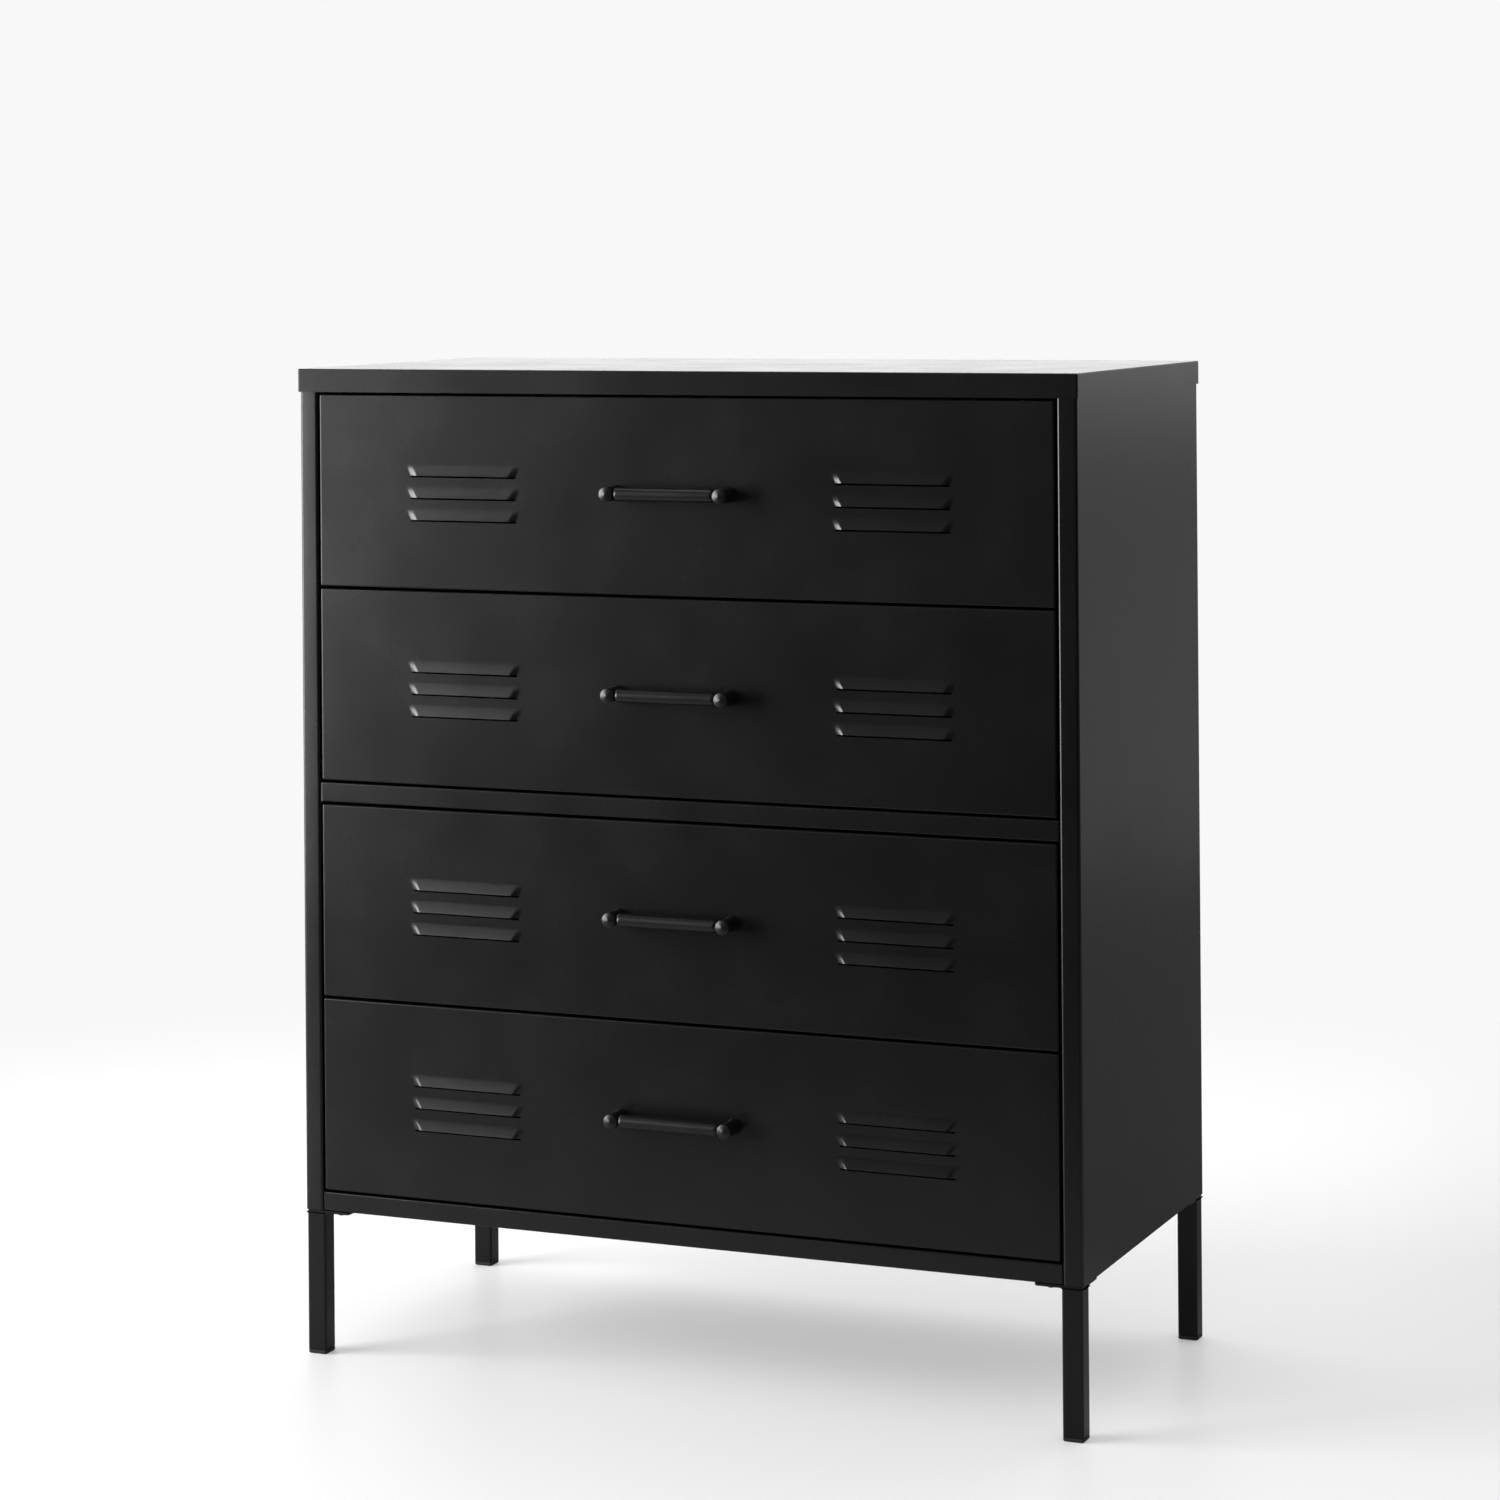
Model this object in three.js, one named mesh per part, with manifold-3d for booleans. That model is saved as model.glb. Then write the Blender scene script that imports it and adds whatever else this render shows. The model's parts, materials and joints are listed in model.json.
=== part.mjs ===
// Tall chest of drawers in folded sheet steel: a cabinet on four square legs, with four
// louvred drawers that slide on ball runners.
// Millimetres, +Z up. The front faces -Y, +X is to the right, and the feet stand on z = 0.
import * as THREE from "three";
import { ConvexGeometry } from "three/addons/geometries/ConvexGeometry.js";
import { mergeVertices } from "three/addons/utils/BufferGeometryUtils.js";
import Module from "manifold-3d";

const wasm = await Module();
wasm.setup();

// ---------------------------------------------------------------- driving dimensions

// Cabinet
const WIDTH = 800; // across the top panel
const DEPTH = 400; // front to back of the top panel
const HEIGHT = 970; // floor to the top of the top panel
const SHEET = 1; // steel sheet of every folded panel
const BACK_SHEET = 0.8; // steel sheet of the flat back
const FIT = 0.3; // gap left between pieces that are fastened together
const TOP_SKIRT = 22.8; // height of the top panel's folded edge
const TOP_OVERHANG = 1.5; // top panel beyond the cabinet on every side
const CABINET_BOTTOM = 142; // height of the legs and their plates
const POST_WIDTH = 19.3; // folded post at each corner, seen from the front
const POST_RETURN = 36; // depth of the flange that the post turns inwards
const SIDE_FLANGE_INSET = 2; // gap from a post's return to the side panel's end flanges
const MIDDLE_RAIL = 19.3;
const BOTTOM_RAIL = 18.7;
const RAIL_SETBACK = 0.8; // rails behind the posts' front faces
const RAIL_RETURN = 14; // depth of the flange along a rail's free edge
const BACK_LAP = 10.8; // back panel over each rear post
const BACK_RISE = 5; // back panel's lower edge above the cabinet's

// Legs
const LEG_WIDTH = 20;
const LEG_WALL = 1.5;
const LEG_INSET = 1; // leg inside the cabinet's outer faces
const PLATE_WIDTH = 46;
const PLATE_THICKNESS = 2.5;
const CAP_HEIGHT = 4;
const CAP_PLUG = 14; // plug of the foot cap inside the leg

// Drawers
const REVEAL = 2.4; // gap round every drawer front
const DRAWER_COUNT = 4;
const FRONT_DEPTH = 16; // folded edge of a drawer front
const FRONT_SIDE_RETURN = 22; // inner flange at each end of a front
const FRONT_EDGE_RETURN = 12; // inner flange along a front's long edges
const TRAY_RISE = 12; // tray floor above the front's lower edge
const TRAY_HEIGHT = 140;
const TRAY_REAR_GAP = 30.5; // tray's back wall inside the cabinet's back
const HEM_HEIGHT = 10; // folded-over top edge of the tray's walls
const TRAY_LIP = 15; // flange round the tray's open front, fastened to the drawer front

// Louvres, pressed outwards over an open slot
const LOUVRE_ROWS = 3;
const LOUVRE_TOP_WIDTH = 125;
const LOUVRE_BASE_WIDTH = 113;
const LOUVRE_LIP_WIDTH = 103;
const LOUVRE_HEIGHT = 11;
const LOUVRE_REACH = 2.5;
const LOUVRE_PITCH = 21.5;
const LOUVRE_OFFSET = 220.5; // centre of each bank from the middle of the front
const LOUVRE_ROOT = 0.5; // depth that the pressing is rooted in the sheet
const SLOT_DROP = 0.5; // cut below the louvre's lip

// Handles
const POST_SPACING = 116;
const POST_RADIUS = 7;
const POST_DOME = 2.4; // length of the flattened round front of a handle's post
const BAR_RADIUS = 6.5;
const BAR_HALF_LENGTH = 47.5;
const NECK_RADIUS = 4.3;
const NECK_START = 50.5; // where the bar has narrowed to its neck
const BAR_REACH = 20; // bar's axis in front of the drawer front
const HANDLE_REACH = 28; // overall, in front of the drawer front
const HANDLE_RISE = 3; // handle above the middle of the front
const SCREW_RADIUS = 1.65; // core of an M4 thread
const SCREW_HOLE_RADIUS = SCREW_RADIUS + FIT;
const SCREW_LENGTH = 12;
const SCREW_HOLE_DEPTH = 14;
const HEAD_RADIUS = 4;
const HEAD_HEIGHT = 2.4;

// Ball runners: an outer member on the posts, an inner member on the tray, a ball cage between
const RUNNER_LENGTH = 350;
const RUNNER_FRONT = 18; // runner's front end behind the cabinet's front
const RUNNER_RISE = 82; // runner's middle above the front's lower edge
const RUNNER_THICKNESS = 12.4;
const RUNNER_STEEL = 1.2;
const OUTER_HALF_HEIGHT = 17.5;
const OUTER_TIP = 9.2; // depth that the outer member's flanges reach, from the post
const INNER_HALF_HEIGHT = 11.5;
const INNER_TIP = 4.4; // depth that the inner member's flanges come back to
const CAGE_STEEL = 0.8;
const CAGE_HALF_HEIGHT = 14.4;
const CAGE_WEB = 2.4; // depth of the cage's web
const CAGE_TIP = 9.6;
const DRAWER_TRAVEL = 262;

// Round pieces
const BAR_SEGMENTS = 20;
const SCREW_SEGMENTS = 12;
const DOME_STEPS = 4;

// ---------------------------------------------------------------- derived places

const bodyX = WIDTH / 2 - TOP_OVERHANG;
const bodyY = DEPTH / 2 - TOP_OVERHANG;
const postInnerX = bodyX - POST_WIDTH;
const skirtBottom = HEIGHT - TOP_SKIRT;
const runnerOuterX = postInnerX - FIT;
const trayX = runnerOuterX - RUNNER_THICKNESS - FIT;
const frontX = postInnerX - REVEAL;
const bottomRailTop = CABINET_BOTTOM + BOTTOM_RAIL;
const revealCount = DRAWER_COUNT + 2;
const openingHeight = skirtBottom - bottomRailTop - MIDDLE_RAIL - revealCount * REVEAL;
const frontHeight = openingHeight / DRAWER_COUNT;
const runnerFrontY = -bodyY + RUNNER_FRONT;
const runnerRearY = runnerFrontY + RUNNER_LENGTH;
const cageLength = RUNNER_LENGTH - DRAWER_TRAVEL;
const cageRearY = runnerFrontY + DRAWER_TRAVEL / 2 + cageLength;
const handleZ = frontHeight / 2 + HANDLE_RISE;

// Lower edge of each drawer front, top drawer first; the middle rail parts the two pairs.
const drawerBottoms = [];
let level = skirtBottom;
let middleRailTop = 0;
for (let index = 0; index < DRAWER_COUNT; index += 1) {
  if (index === DRAWER_COUNT / 2) {
    middleRailTop = level - REVEAL;
    level = middleRailTop - MIDDLE_RAIL;
  }
  level -= REVEAL + frontHeight;
  drawerBottoms.push(level);
}

// ---------------------------------------------------------------- materials

const blackSteel = { color: 0x1c1c1d, roughness: 0.42, metalness: 0.1 };
const blackCasting = { color: 0x141415, roughness: 0.35, metalness: 0.15 };
const blackPlastic = { color: 0x101011, roughness: 0.65, metalness: 0 };
const zincSteel = { color: 0xa9adb0, roughness: 0.35, metalness: 0.9 };

// ---------------------------------------------------------------- shape helpers

/** A three.js geometry as a manifold-3d solid. */
function solid(geometry) {
  geometry.deleteAttribute("normal");
  geometry.deleteAttribute("uv");
  const merged = mergeVertices(geometry);
  return new wasm.Manifold(new wasm.Mesh({
    numProp: 3,
    vertProperties: new Float32Array(merged.attributes.position.array),
    triVerts: new Uint32Array(merged.index.array),
  }));
}

/** A box between two limits on each axis. */
function block([x0, x1], [y0, y1], [z0, z1]) {
  const geometry = new THREE.BoxGeometry(x1 - x0, y1 - y0, z1 - z0);
  geometry.translate((x0 + x1) / 2, (y0 + y1) / 2, (z0 + z1) / 2);
  return solid(geometry);
}

/** A profile of [radius, height] points turned about the Y axis. */
function turned(profile, segments) {
  const points = profile.map(([radius, height]) => new THREE.Vector2(radius, height));
  return new THREE.LatheGeometry(points, segments);
}

/** A round bar along Y from y0 to y1, centred on (x, z). */
function roundBar(radius, x, z, y0, y1) {
  const geometry = new THREE.CylinderGeometry(radius, radius, y1 - y0, SCREW_SEGMENTS);
  geometry.translate(x, (y0 + y1) / 2, z);
  return solid(geometry);
}

/** An outline of [x, y] points pushed up along Z by a depth. */
function extruded(outline, depth) {
  const shape = new THREE.Shape(outline.map(([x, y]) => new THREE.Vector2(x, y)));
  return new THREE.ExtrudeGeometry(shape, { depth, bevelEnabled: false });
}

/** A named mesh in its own material, from a manifold-3d solid. */
function named(name, shape, finish) {
  const { vertProperties, triVerts } = shape.getMesh();
  const geometry = new THREE.BufferGeometry();
  geometry.setAttribute("position", new THREE.BufferAttribute(vertProperties, 3));
  geometry.setIndex(new THREE.BufferAttribute(triVerts, 1));
  const mesh = new THREE.Mesh(geometry, new THREE.MeshStandardMaterial(finish));
  mesh.name = name;
  return mesh;
}

// ---------------------------------------------------------------- cabinet

/** Shallow lid with its edge folded down all round. */
function topPanel() {
  const halfX = WIDTH / 2;
  const halfY = DEPTH / 2;
  const inX = halfX - SHEET;
  const inY = halfY - SHEET;
  const outer = block([-halfX, halfX], [-halfY, halfY], [skirtBottom, HEIGHT]);
  return outer.subtract(block([-inX, inX], [-inY, inY], [skirtBottom - SHEET, HEIGHT - SHEET]));
}

/** Side skin folded round into a front post and a rear post; side is -1 for left, 1 for right. */
function sidePanel(side) {
  const top = HEIGHT - SHEET - FIT;
  const returnY = bodyY - POST_RETURN;
  const skinX = bodyX - SHEET;
  const returnX = postInnerX + SHEET;
  const outline = [
    [postInnerX, -returnY],
    [postInnerX, -bodyY],
    [bodyX, -bodyY],
    [bodyX, bodyY],
    [postInnerX, bodyY],
    [postInnerX, returnY],
    [returnX, returnY],
    [returnX, bodyY - SHEET],
    [skinX, bodyY - SHEET],
    [skinX, -bodyY + SHEET],
    [returnX, -bodyY + SHEET],
    [returnX, -returnY],
  ].map(([x, y]) => [side * x, y]);
  const skin = extruded(outline, top - CABINET_BOTTOM);
  skin.translate(0, 0, CABINET_BOTTOM);
  const flangeX = [side * postInnerX, side * (bodyX - SHEET / 2)].sort((a, b) => a - b);
  const flangeY = [-returnY + SIDE_FLANGE_INSET, returnY - SIDE_FLANGE_INSET];
  const lower = block(flangeX, flangeY, [CABINET_BOTTOM, CABINET_BOTTOM + SHEET]);
  const upper = block(flangeX, flangeY, [top - SHEET, top]);
  return solid(skin).add(lower).add(upper);
}

/** Flat sheet fastened over the rear posts. */
function backPanel() {
  const halfX = postInnerX + BACK_LAP;
  const frontY = bodyY + FIT;
  const heights = [CABINET_BOTTOM + BACK_RISE, skirtBottom - SHEET];
  return block([-halfX, halfX], [frontY, frontY + BACK_SHEET], heights);
}

/**
 * A sheet between the posts with its four edges folded the same way, and the front edge
 * folded once more so that it reads as a rail. The sheet lies at the bottom of the fold
 * for the cabinet's floor, and at its top for the shelf.
 */
function railedSheet(bottom, top, sheetAtTop) {
  const halfX = runnerOuterX;
  const inX = halfX - SHEET;
  const frontY = -bodyY + RAIL_SETBACK;
  const rearY = bodyY - SHEET;
  const hollow = sheetAtTop ? [bottom - SHEET, top - SHEET] : [bottom + SHEET, top + SHEET];
  const lip = sheetAtTop ? [bottom, bottom + SHEET] : [top - SHEET, top];
  const folded = block([-halfX, halfX], [frontY, rearY], [bottom, top])
    .subtract(block([-inX, inX], [frontY + SHEET, rearY - SHEET], hollow));
  return folded.add(block([-inX - SHEET / 2, inX + SHEET / 2], [frontY, frontY + RAIL_RETURN], lip));
}

/** Square tube with its mounting plate welded on; sides are -1 or 1 in X and in Y. */
function leg(sideX, sideY) {
  const half = LEG_WIDTH / 2;
  const bore = half - LEG_WALL;
  const plateTop = CABINET_BOTTOM - FIT;
  const plateBottom = plateTop - PLATE_THICKNESS;
  const plateShift = (PLATE_WIDTH - LEG_WIDTH) / 2;
  const plateHalf = PLATE_WIDTH / 2;
  const [plateX, plateY] = [sideX, sideY].map(
    (side) => [-side * plateShift - plateHalf, -side * plateShift + plateHalf],
  );
  const tube = block([-half, half], [-half, half], [CAP_HEIGHT + FIT, plateBottom + SHEET]);
  return tube.add(block(plateX, plateY, [plateBottom, plateTop]))
    .subtract(block([-bore, bore], [-bore, bore], [0, plateBottom]));
}

/** Plastic cap: a foot as wide as the leg, and a plug inside the tube. */
function footCap() {
  const half = LEG_WIDTH / 2;
  const plug = half - LEG_WALL - FIT;
  const foot = block([-half, half], [-half, half], [0, CAP_HEIGHT]);
  return foot.add(block([-plug, plug], [-plug, plug], [CAP_HEIGHT / 2, CAP_HEIGHT + CAP_PLUG]));
}

// ---------------------------------------------------------------- drawers

/** One louvre, its upper edge at z = 0 on the sheet's face at y = 0. */
function louvre() {
  const topX = LOUVRE_TOP_WIDTH / 2;
  const baseX = LOUVRE_BASE_WIDTH / 2;
  const lipX = LOUVRE_LIP_WIDTH / 2;
  const corners = [];
  const cutCorners = [];
  const slope = LOUVRE_REACH / LOUVRE_HEIGHT;
  const wall = SHEET * Math.hypot(1, slope);
  const cutHeight = LOUVRE_HEIGHT + SLOT_DROP;
  for (const side of [-1, 1]) {
    corners.push([side * topX, 0, 0], [side * topX, LOUVRE_ROOT, 0]);
    corners.push([side * baseX, 0, -LOUVRE_HEIGHT], [side * baseX, LOUVRE_ROOT, -LOUVRE_HEIGHT]);
    corners.push([side * lipX, -LOUVRE_REACH, -LOUVRE_HEIGHT]);
    cutCorners.push([side * (topX - SHEET), wall, 0]);
    cutCorners.push([side * (baseX - SHEET), wall, -cutHeight]);
    cutCorners.push([side * (lipX - SHEET), wall - slope * cutHeight, -cutHeight]);
  }
  const [pressing, hollow] = [corners, cutCorners].map(
    (points) => solid(new ConvexGeometry(points.map((point) => new THREE.Vector3(...point)))),
  );
  return { pressing, hollow };
}

/** Folded drawer front with its two banks of louvres and the handle's screw holes. */
function drawerFront() {
  const backY = -bodyY + FRONT_DEPTH;
  const inX = frontX - SHEET;
  const windowX = frontX - FRONT_SIDE_RETURN;
  const windowZ = [FRONT_EDGE_RETURN, frontHeight - FRONT_EDGE_RETURN];
  let front = block([-frontX, frontX], [-bodyY, backY], [0, frontHeight])
    .subtract(block([-inX, inX], [-bodyY + SHEET, backY - SHEET], [SHEET, frontHeight - SHEET]))
    .subtract(block([-windowX, windowX], [backY - 2 * SHEET, backY + SHEET], windowZ));
  const { pressing, hollow } = louvre();
  const bankHeight = (LOUVRE_ROWS - 1) * LOUVRE_PITCH + LOUVRE_HEIGHT;
  for (const side of [-1, 1]) {
    for (let row = 0; row < LOUVRE_ROWS; row += 1) {
      const z = frontHeight / 2 + bankHeight / 2 - row * LOUVRE_PITCH;
      const place = [side * LOUVRE_OFFSET, -bodyY, z];
      front = front.add(pressing.translate(place)).subtract(hollow.translate(place));
    }
    const holeX = side * POST_SPACING / 2;
    front = front.subtract(
      roundBar(SCREW_HOLE_RADIUS, holeX, handleZ, -bodyY - SHEET, -bodyY + 2 * SHEET),
    );
  }
  return front;
}

/** Hemmed tray: a floor and three walls, and a narrow lip round its open front. */
function drawerTray() {
  const frontY = -bodyY + FRONT_DEPTH + FIT;
  const rearY = bodyY - TRAY_REAR_GAP;
  const top = TRAY_RISE + TRAY_HEIGHT;
  const inX = trayX - SHEET;
  const hemX = trayX + SHEET;
  const mouthX = trayX - TRAY_LIP;
  const insideY = [frontY + SHEET, rearY - SHEET];
  const hems = block([-hemX, hemX], [runnerFrontY, rearY + SHEET], [top - HEM_HEIGHT, top])
    .subtract(block([-inX, inX], [frontY, rearY - SHEET], [TRAY_RISE, top + SHEET]));
  return block([-trayX, trayX], [frontY, rearY], [TRAY_RISE, top])
    .subtract(block([-inX, inX], insideY, [TRAY_RISE + SHEET, top + SHEET]))
    .subtract(block([-mouthX, mouthX], [frontY - SHEET, 0], [TRAY_RISE + TRAY_LIP, top + SHEET]))
    .add(hems);
}

/** Turned bar with necked ends between two round-nosed posts, each tapped for a screw. */
function handle() {
  const postX = POST_SPACING / 2;
  const bar = turned([
    [0, -postX],
    [NECK_RADIUS, -postX],
    [NECK_RADIUS, -NECK_START],
    [BAR_RADIUS, -BAR_HALF_LENGTH],
    [BAR_RADIUS, BAR_HALF_LENGTH],
    [NECK_RADIUS, NECK_START],
    [NECK_RADIUS, postX],
    [0, postX],
  ], BAR_SEGMENTS);
  bar.rotateZ(-Math.PI / 2);
  bar.translate(0, -BAR_REACH, 0);
  const profile = [[0, FIT], [POST_RADIUS, FIT]];
  for (let step = 0; step <= DOME_STEPS; step += 1) {
    const angle = (step / DOME_STEPS) * Math.PI / 2;
    const radius = step === DOME_STEPS ? 0 : POST_RADIUS * Math.cos(angle);
    profile.push([radius, HANDLE_REACH - POST_DOME + POST_DOME * Math.sin(angle)]);
  }
  let shape = solid(bar);
  for (const side of [-1, 1]) {
    const post = turned(profile, BAR_SEGMENTS);
    post.rotateX(Math.PI);
    post.translate(side * postX, 0, 0);
    shape = shape.add(solid(post))
      .subtract(roundBar(SCREW_HOLE_RADIUS, side * postX, 0, -SCREW_HOLE_DEPTH, SHEET));
  }
  return shape;
}

/** Pan-head screw along Y: the head bears on the sheet's back, the shank reaches forwards. */
function handleScrew() {
  const bearing = -SHEET - FIT;
  const screw = turned([
    [0, bearing - HEAD_HEIGHT],
    [HEAD_RADIUS * 0.7, bearing - HEAD_HEIGHT],
    [HEAD_RADIUS, bearing - HEAD_HEIGHT / 2],
    [HEAD_RADIUS, bearing],
    [SCREW_RADIUS, bearing],
    [SCREW_RADIUS, bearing + SCREW_LENGTH],
    [0, bearing + SCREW_LENGTH],
  ], SCREW_SEGMENTS);
  screw.rotateX(Math.PI);
  return solid(screw);
}

/**
 * A channel along Y. Depths run inwards from the post's face: the web stands at webDepth,
 * and the two flanges reach to tipDepth. side is -1 for left, 1 for right.
 */
function channel(side, webDepth, tipDepth, halfHeight, steel, length, rearY) {
  const inner = webDepth + Math.sign(tipDepth - webDepth) * steel;
  const outline = [
    [webDepth, -halfHeight],
    [tipDepth, -halfHeight],
    [tipDepth, -halfHeight + steel],
    [inner, -halfHeight + steel],
    [inner, halfHeight - steel],
    [tipDepth, halfHeight - steel],
    [tipDepth, halfHeight],
    [webDepth, halfHeight],
  ].map(([depth, z]) => [side * (runnerOuterX - depth), z]);
  const geometry = extruded(outline, length);
  geometry.rotateX(Math.PI / 2);
  geometry.translate(0, rearY, 0);
  return solid(geometry);
}

/** Member fixed to the cabinet's posts. */
function outerMember(side) {
  return channel(side, 0, OUTER_TIP, OUTER_HALF_HEIGHT, RUNNER_STEEL, RUNNER_LENGTH, runnerRearY);
}

/** Ball cage, which rolls between the members at half the drawer's travel. */
function ballCage(side) {
  return channel(side, CAGE_WEB, CAGE_TIP, CAGE_HALF_HEIGHT, CAGE_STEEL, cageLength, cageRearY);
}

/** Member fixed to the drawer's tray. */
function innerMember(side) {
  const web = RUNNER_THICKNESS;
  return channel(side, web, INNER_TIP, INNER_HALF_HEIGHT, RUNNER_STEEL, RUNNER_LENGTH, runnerRearY);
}

// ---------------------------------------------------------------- assembly

const chest = new THREE.Group();
chest.position.y = (HANDLE_REACH - TOP_OVERHANG) / 2;

const SIDES = { left: -1, right: 1 };
const ENDS = { front: -1, rear: 1 };

chest.add(named("top_panel", topPanel(), blackSteel));
chest.add(named("back_panel", backPanel(), blackSteel));
const floor = railedSheet(CABINET_BOTTOM, bottomRailTop, false);
chest.add(named("bottom_panel", floor, blackSteel));
const shelf = railedSheet(middleRailTop - MIDDLE_RAIL, middleRailTop, true);
chest.add(named("middle_shelf", shelf, blackSteel));

for (const [sideName, side] of Object.entries(SIDES)) {
  chest.add(named(`${sideName}_side_panel`, sidePanel(side), blackSteel));
  for (const [endName, end] of Object.entries(ENDS)) {
    const corner = new THREE.Group();
    corner.position.x = side * (bodyX - LEG_INSET - LEG_WIDTH / 2);
    corner.position.y = end * (bodyY - LEG_INSET - LEG_WIDTH / 2);
    corner.add(named(`${endName}_${sideName}_leg`, leg(side, end), blackSteel));
    corner.add(named(`${endName}_${sideName}_foot_cap`, footCap(), blackPlastic));
    chest.add(corner);
  }
}

drawerBottoms.forEach((bottom, index) => {
  const label = `drawer_${index + 1}`;
  const drawer = new THREE.Group();
  drawer.position.z = bottom;
  drawer.add(named(`${label}_front`, drawerFront(), blackSteel));
  drawer.add(named(`${label}_tray`, drawerTray(), blackSteel));

  const fittings = new THREE.Group();
  fittings.position.set(0, -bodyY, handleZ);
  fittings.add(named(`${label}_handle`, handle(), blackCasting));
  drawer.add(fittings);

  const runners = new THREE.Group();
  runners.position.z = RUNNER_RISE;
  drawer.add(runners);

  for (const [sideName, side] of Object.entries(SIDES)) {
    const screw = named(`${label}_handle_screw_${sideName}`, handleScrew(), zincSteel);
    screw.position.x = side * POST_SPACING / 2;
    fittings.add(screw);
    runners.add(named(`${label}_runner_outer_${sideName}`, outerMember(side), zincSteel));
    runners.add(named(`${label}_runner_cage_${sideName}`, ballCage(side), zincSteel));
    runners.add(named(`${label}_runner_inner_${sideName}`, innerMember(side), zincSteel));
  }
  chest.add(drawer);
});

const model = new THREE.Group();
model.add(chest);

export default model;
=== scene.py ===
"""Visual model of a tall chest of drawers in folded black sheet steel.

Everything is in metres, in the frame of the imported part: +Z up, the fronts face -Y. Each
sub-assembly is a class that holds its sizes, builds its meshes and dresses them in a finish.
"""

import json
import logging
import math
from dataclasses import dataclass, field
from enum import Enum
from typing import Iterable, Sequence

import bmesh
import bpy
from mathutils import Matrix, Quaternion, Vector

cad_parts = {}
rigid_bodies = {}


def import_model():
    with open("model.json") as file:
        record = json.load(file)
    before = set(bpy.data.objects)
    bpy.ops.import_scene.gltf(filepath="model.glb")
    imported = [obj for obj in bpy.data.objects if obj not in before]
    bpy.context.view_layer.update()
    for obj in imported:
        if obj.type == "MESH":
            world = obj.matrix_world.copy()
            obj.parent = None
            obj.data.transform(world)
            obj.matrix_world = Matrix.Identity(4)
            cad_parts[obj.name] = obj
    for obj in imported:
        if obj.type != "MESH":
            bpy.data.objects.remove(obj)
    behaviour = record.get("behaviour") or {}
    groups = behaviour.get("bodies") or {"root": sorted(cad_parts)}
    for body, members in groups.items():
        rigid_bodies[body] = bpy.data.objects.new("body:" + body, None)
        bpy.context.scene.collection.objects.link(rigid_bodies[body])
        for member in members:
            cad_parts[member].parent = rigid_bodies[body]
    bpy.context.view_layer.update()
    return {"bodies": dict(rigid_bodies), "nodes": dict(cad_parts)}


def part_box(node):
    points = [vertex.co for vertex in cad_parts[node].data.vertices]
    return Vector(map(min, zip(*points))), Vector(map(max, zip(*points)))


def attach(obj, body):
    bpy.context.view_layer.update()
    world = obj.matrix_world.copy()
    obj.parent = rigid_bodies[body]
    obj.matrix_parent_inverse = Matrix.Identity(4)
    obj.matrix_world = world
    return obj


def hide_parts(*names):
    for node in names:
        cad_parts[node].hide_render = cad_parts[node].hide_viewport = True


LOG = logging.getLogger("chest")
MM = 0.001
Point = tuple[float, float, float]
Outline = Sequence[tuple[float, float]]


# ------------------------------------------------------------------ small tools


class Side(Enum):
    """Left or right of someone who faces the chest."""

    LEFT = -1
    RIGHT = 1

    @property
    def label(self) -> str:
        """The word used in the names of nodes."""
        return self.name.lower()


class End(Enum):
    """Front or rear of the chest."""

    FRONT = -1
    REAR = 1

    @property
    def label(self) -> str:
        """The word used in the names of nodes."""
        return self.name.lower()


def linear(colour: str) -> tuple[float, float, float, float]:
    """Turns an sRGB hex colour into linear light.

    Args:
        colour: six hex digits after a hash.

    Returns:
        Red, green, blue and an alpha of one.
    """
    channels = [int(colour[i : i + 2], 16) / 255 for i in (1, 3, 5)]
    light = [c / 12.92 if c <= 0.04045 else ((c + 0.055) / 1.055) ** 2.4 for c in channels]
    return (*light, 1.0)


def add_node(
    tree: bpy.types.NodeTree, kind: str, inputs: dict | None = None, **settings: object
) -> bpy.types.Node:
    """Adds a node with its settings, values and links.

    Args:
        tree: the node tree that gets the node.
        kind: the node's type name.
        inputs: input socket, by name or number, to a value or to the socket that feeds it.
        **settings: properties of the node.

    Returns:
        The new node.
    """
    node = tree.nodes.new(kind)
    for name, value in settings.items():
        setattr(node, name, value)
    for socket, value in (inputs or {}).items():
        if isinstance(value, bpy.types.NodeSocket):
            tree.links.new(value, node.inputs[socket])
        else:
            node.inputs[socket].default_value = value
    return node


def new_piece(name: str, bm: bmesh.types.BMesh, material: bpy.types.Material) -> bpy.types.Object:
    """Makes an object at the origin from a bmesh, and frees the bmesh.

    Args:
        name: the piece's name.
        bm: its geometry, in the part's frame.
        material: its finish.

    Returns:
        The new object, linked to the scene.
    """
    mesh = bpy.data.meshes.new(name)
    bm.to_mesh(mesh)
    bm.free()
    mesh.materials.append(material)
    piece = bpy.data.objects.new(name, mesh)
    bpy.context.scene.collection.objects.link(piece)
    return piece


def bake_modifiers(piece: bpy.types.Object) -> None:
    """Turns a piece with its modifiers into a plain mesh."""
    graph = bpy.context.evaluated_depsgraph_get()
    shape = piece.evaluated_get(graph)
    mesh = bpy.data.meshes.new_from_object(shape, preserve_all_data_layers=True, depsgraph=graph)
    rough = piece.data
    piece.modifiers.clear()
    piece.data = mesh
    bpy.data.meshes.remove(rough)


def smooth_folds(piece: bpy.types.Object, sharp_degrees: float = 40.0) -> None:
    """Shades folds round and flats flat, and keeps cut edges sharp.

    Args:
        piece: a plain mesh piece.
        sharp_degrees: an edge sharper than this stays sharp.
    """
    piece.data.polygons.foreach_set("use_smooth", [True] * len(piece.data.polygons))
    piece.data.set_sharp_from_angle(angle=math.radians(sharp_degrees))
    weighted = piece.modifiers.new("weighted", "WEIGHTED_NORMAL")
    weighted.keep_sharp = True
    bake_modifiers(piece)


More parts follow.
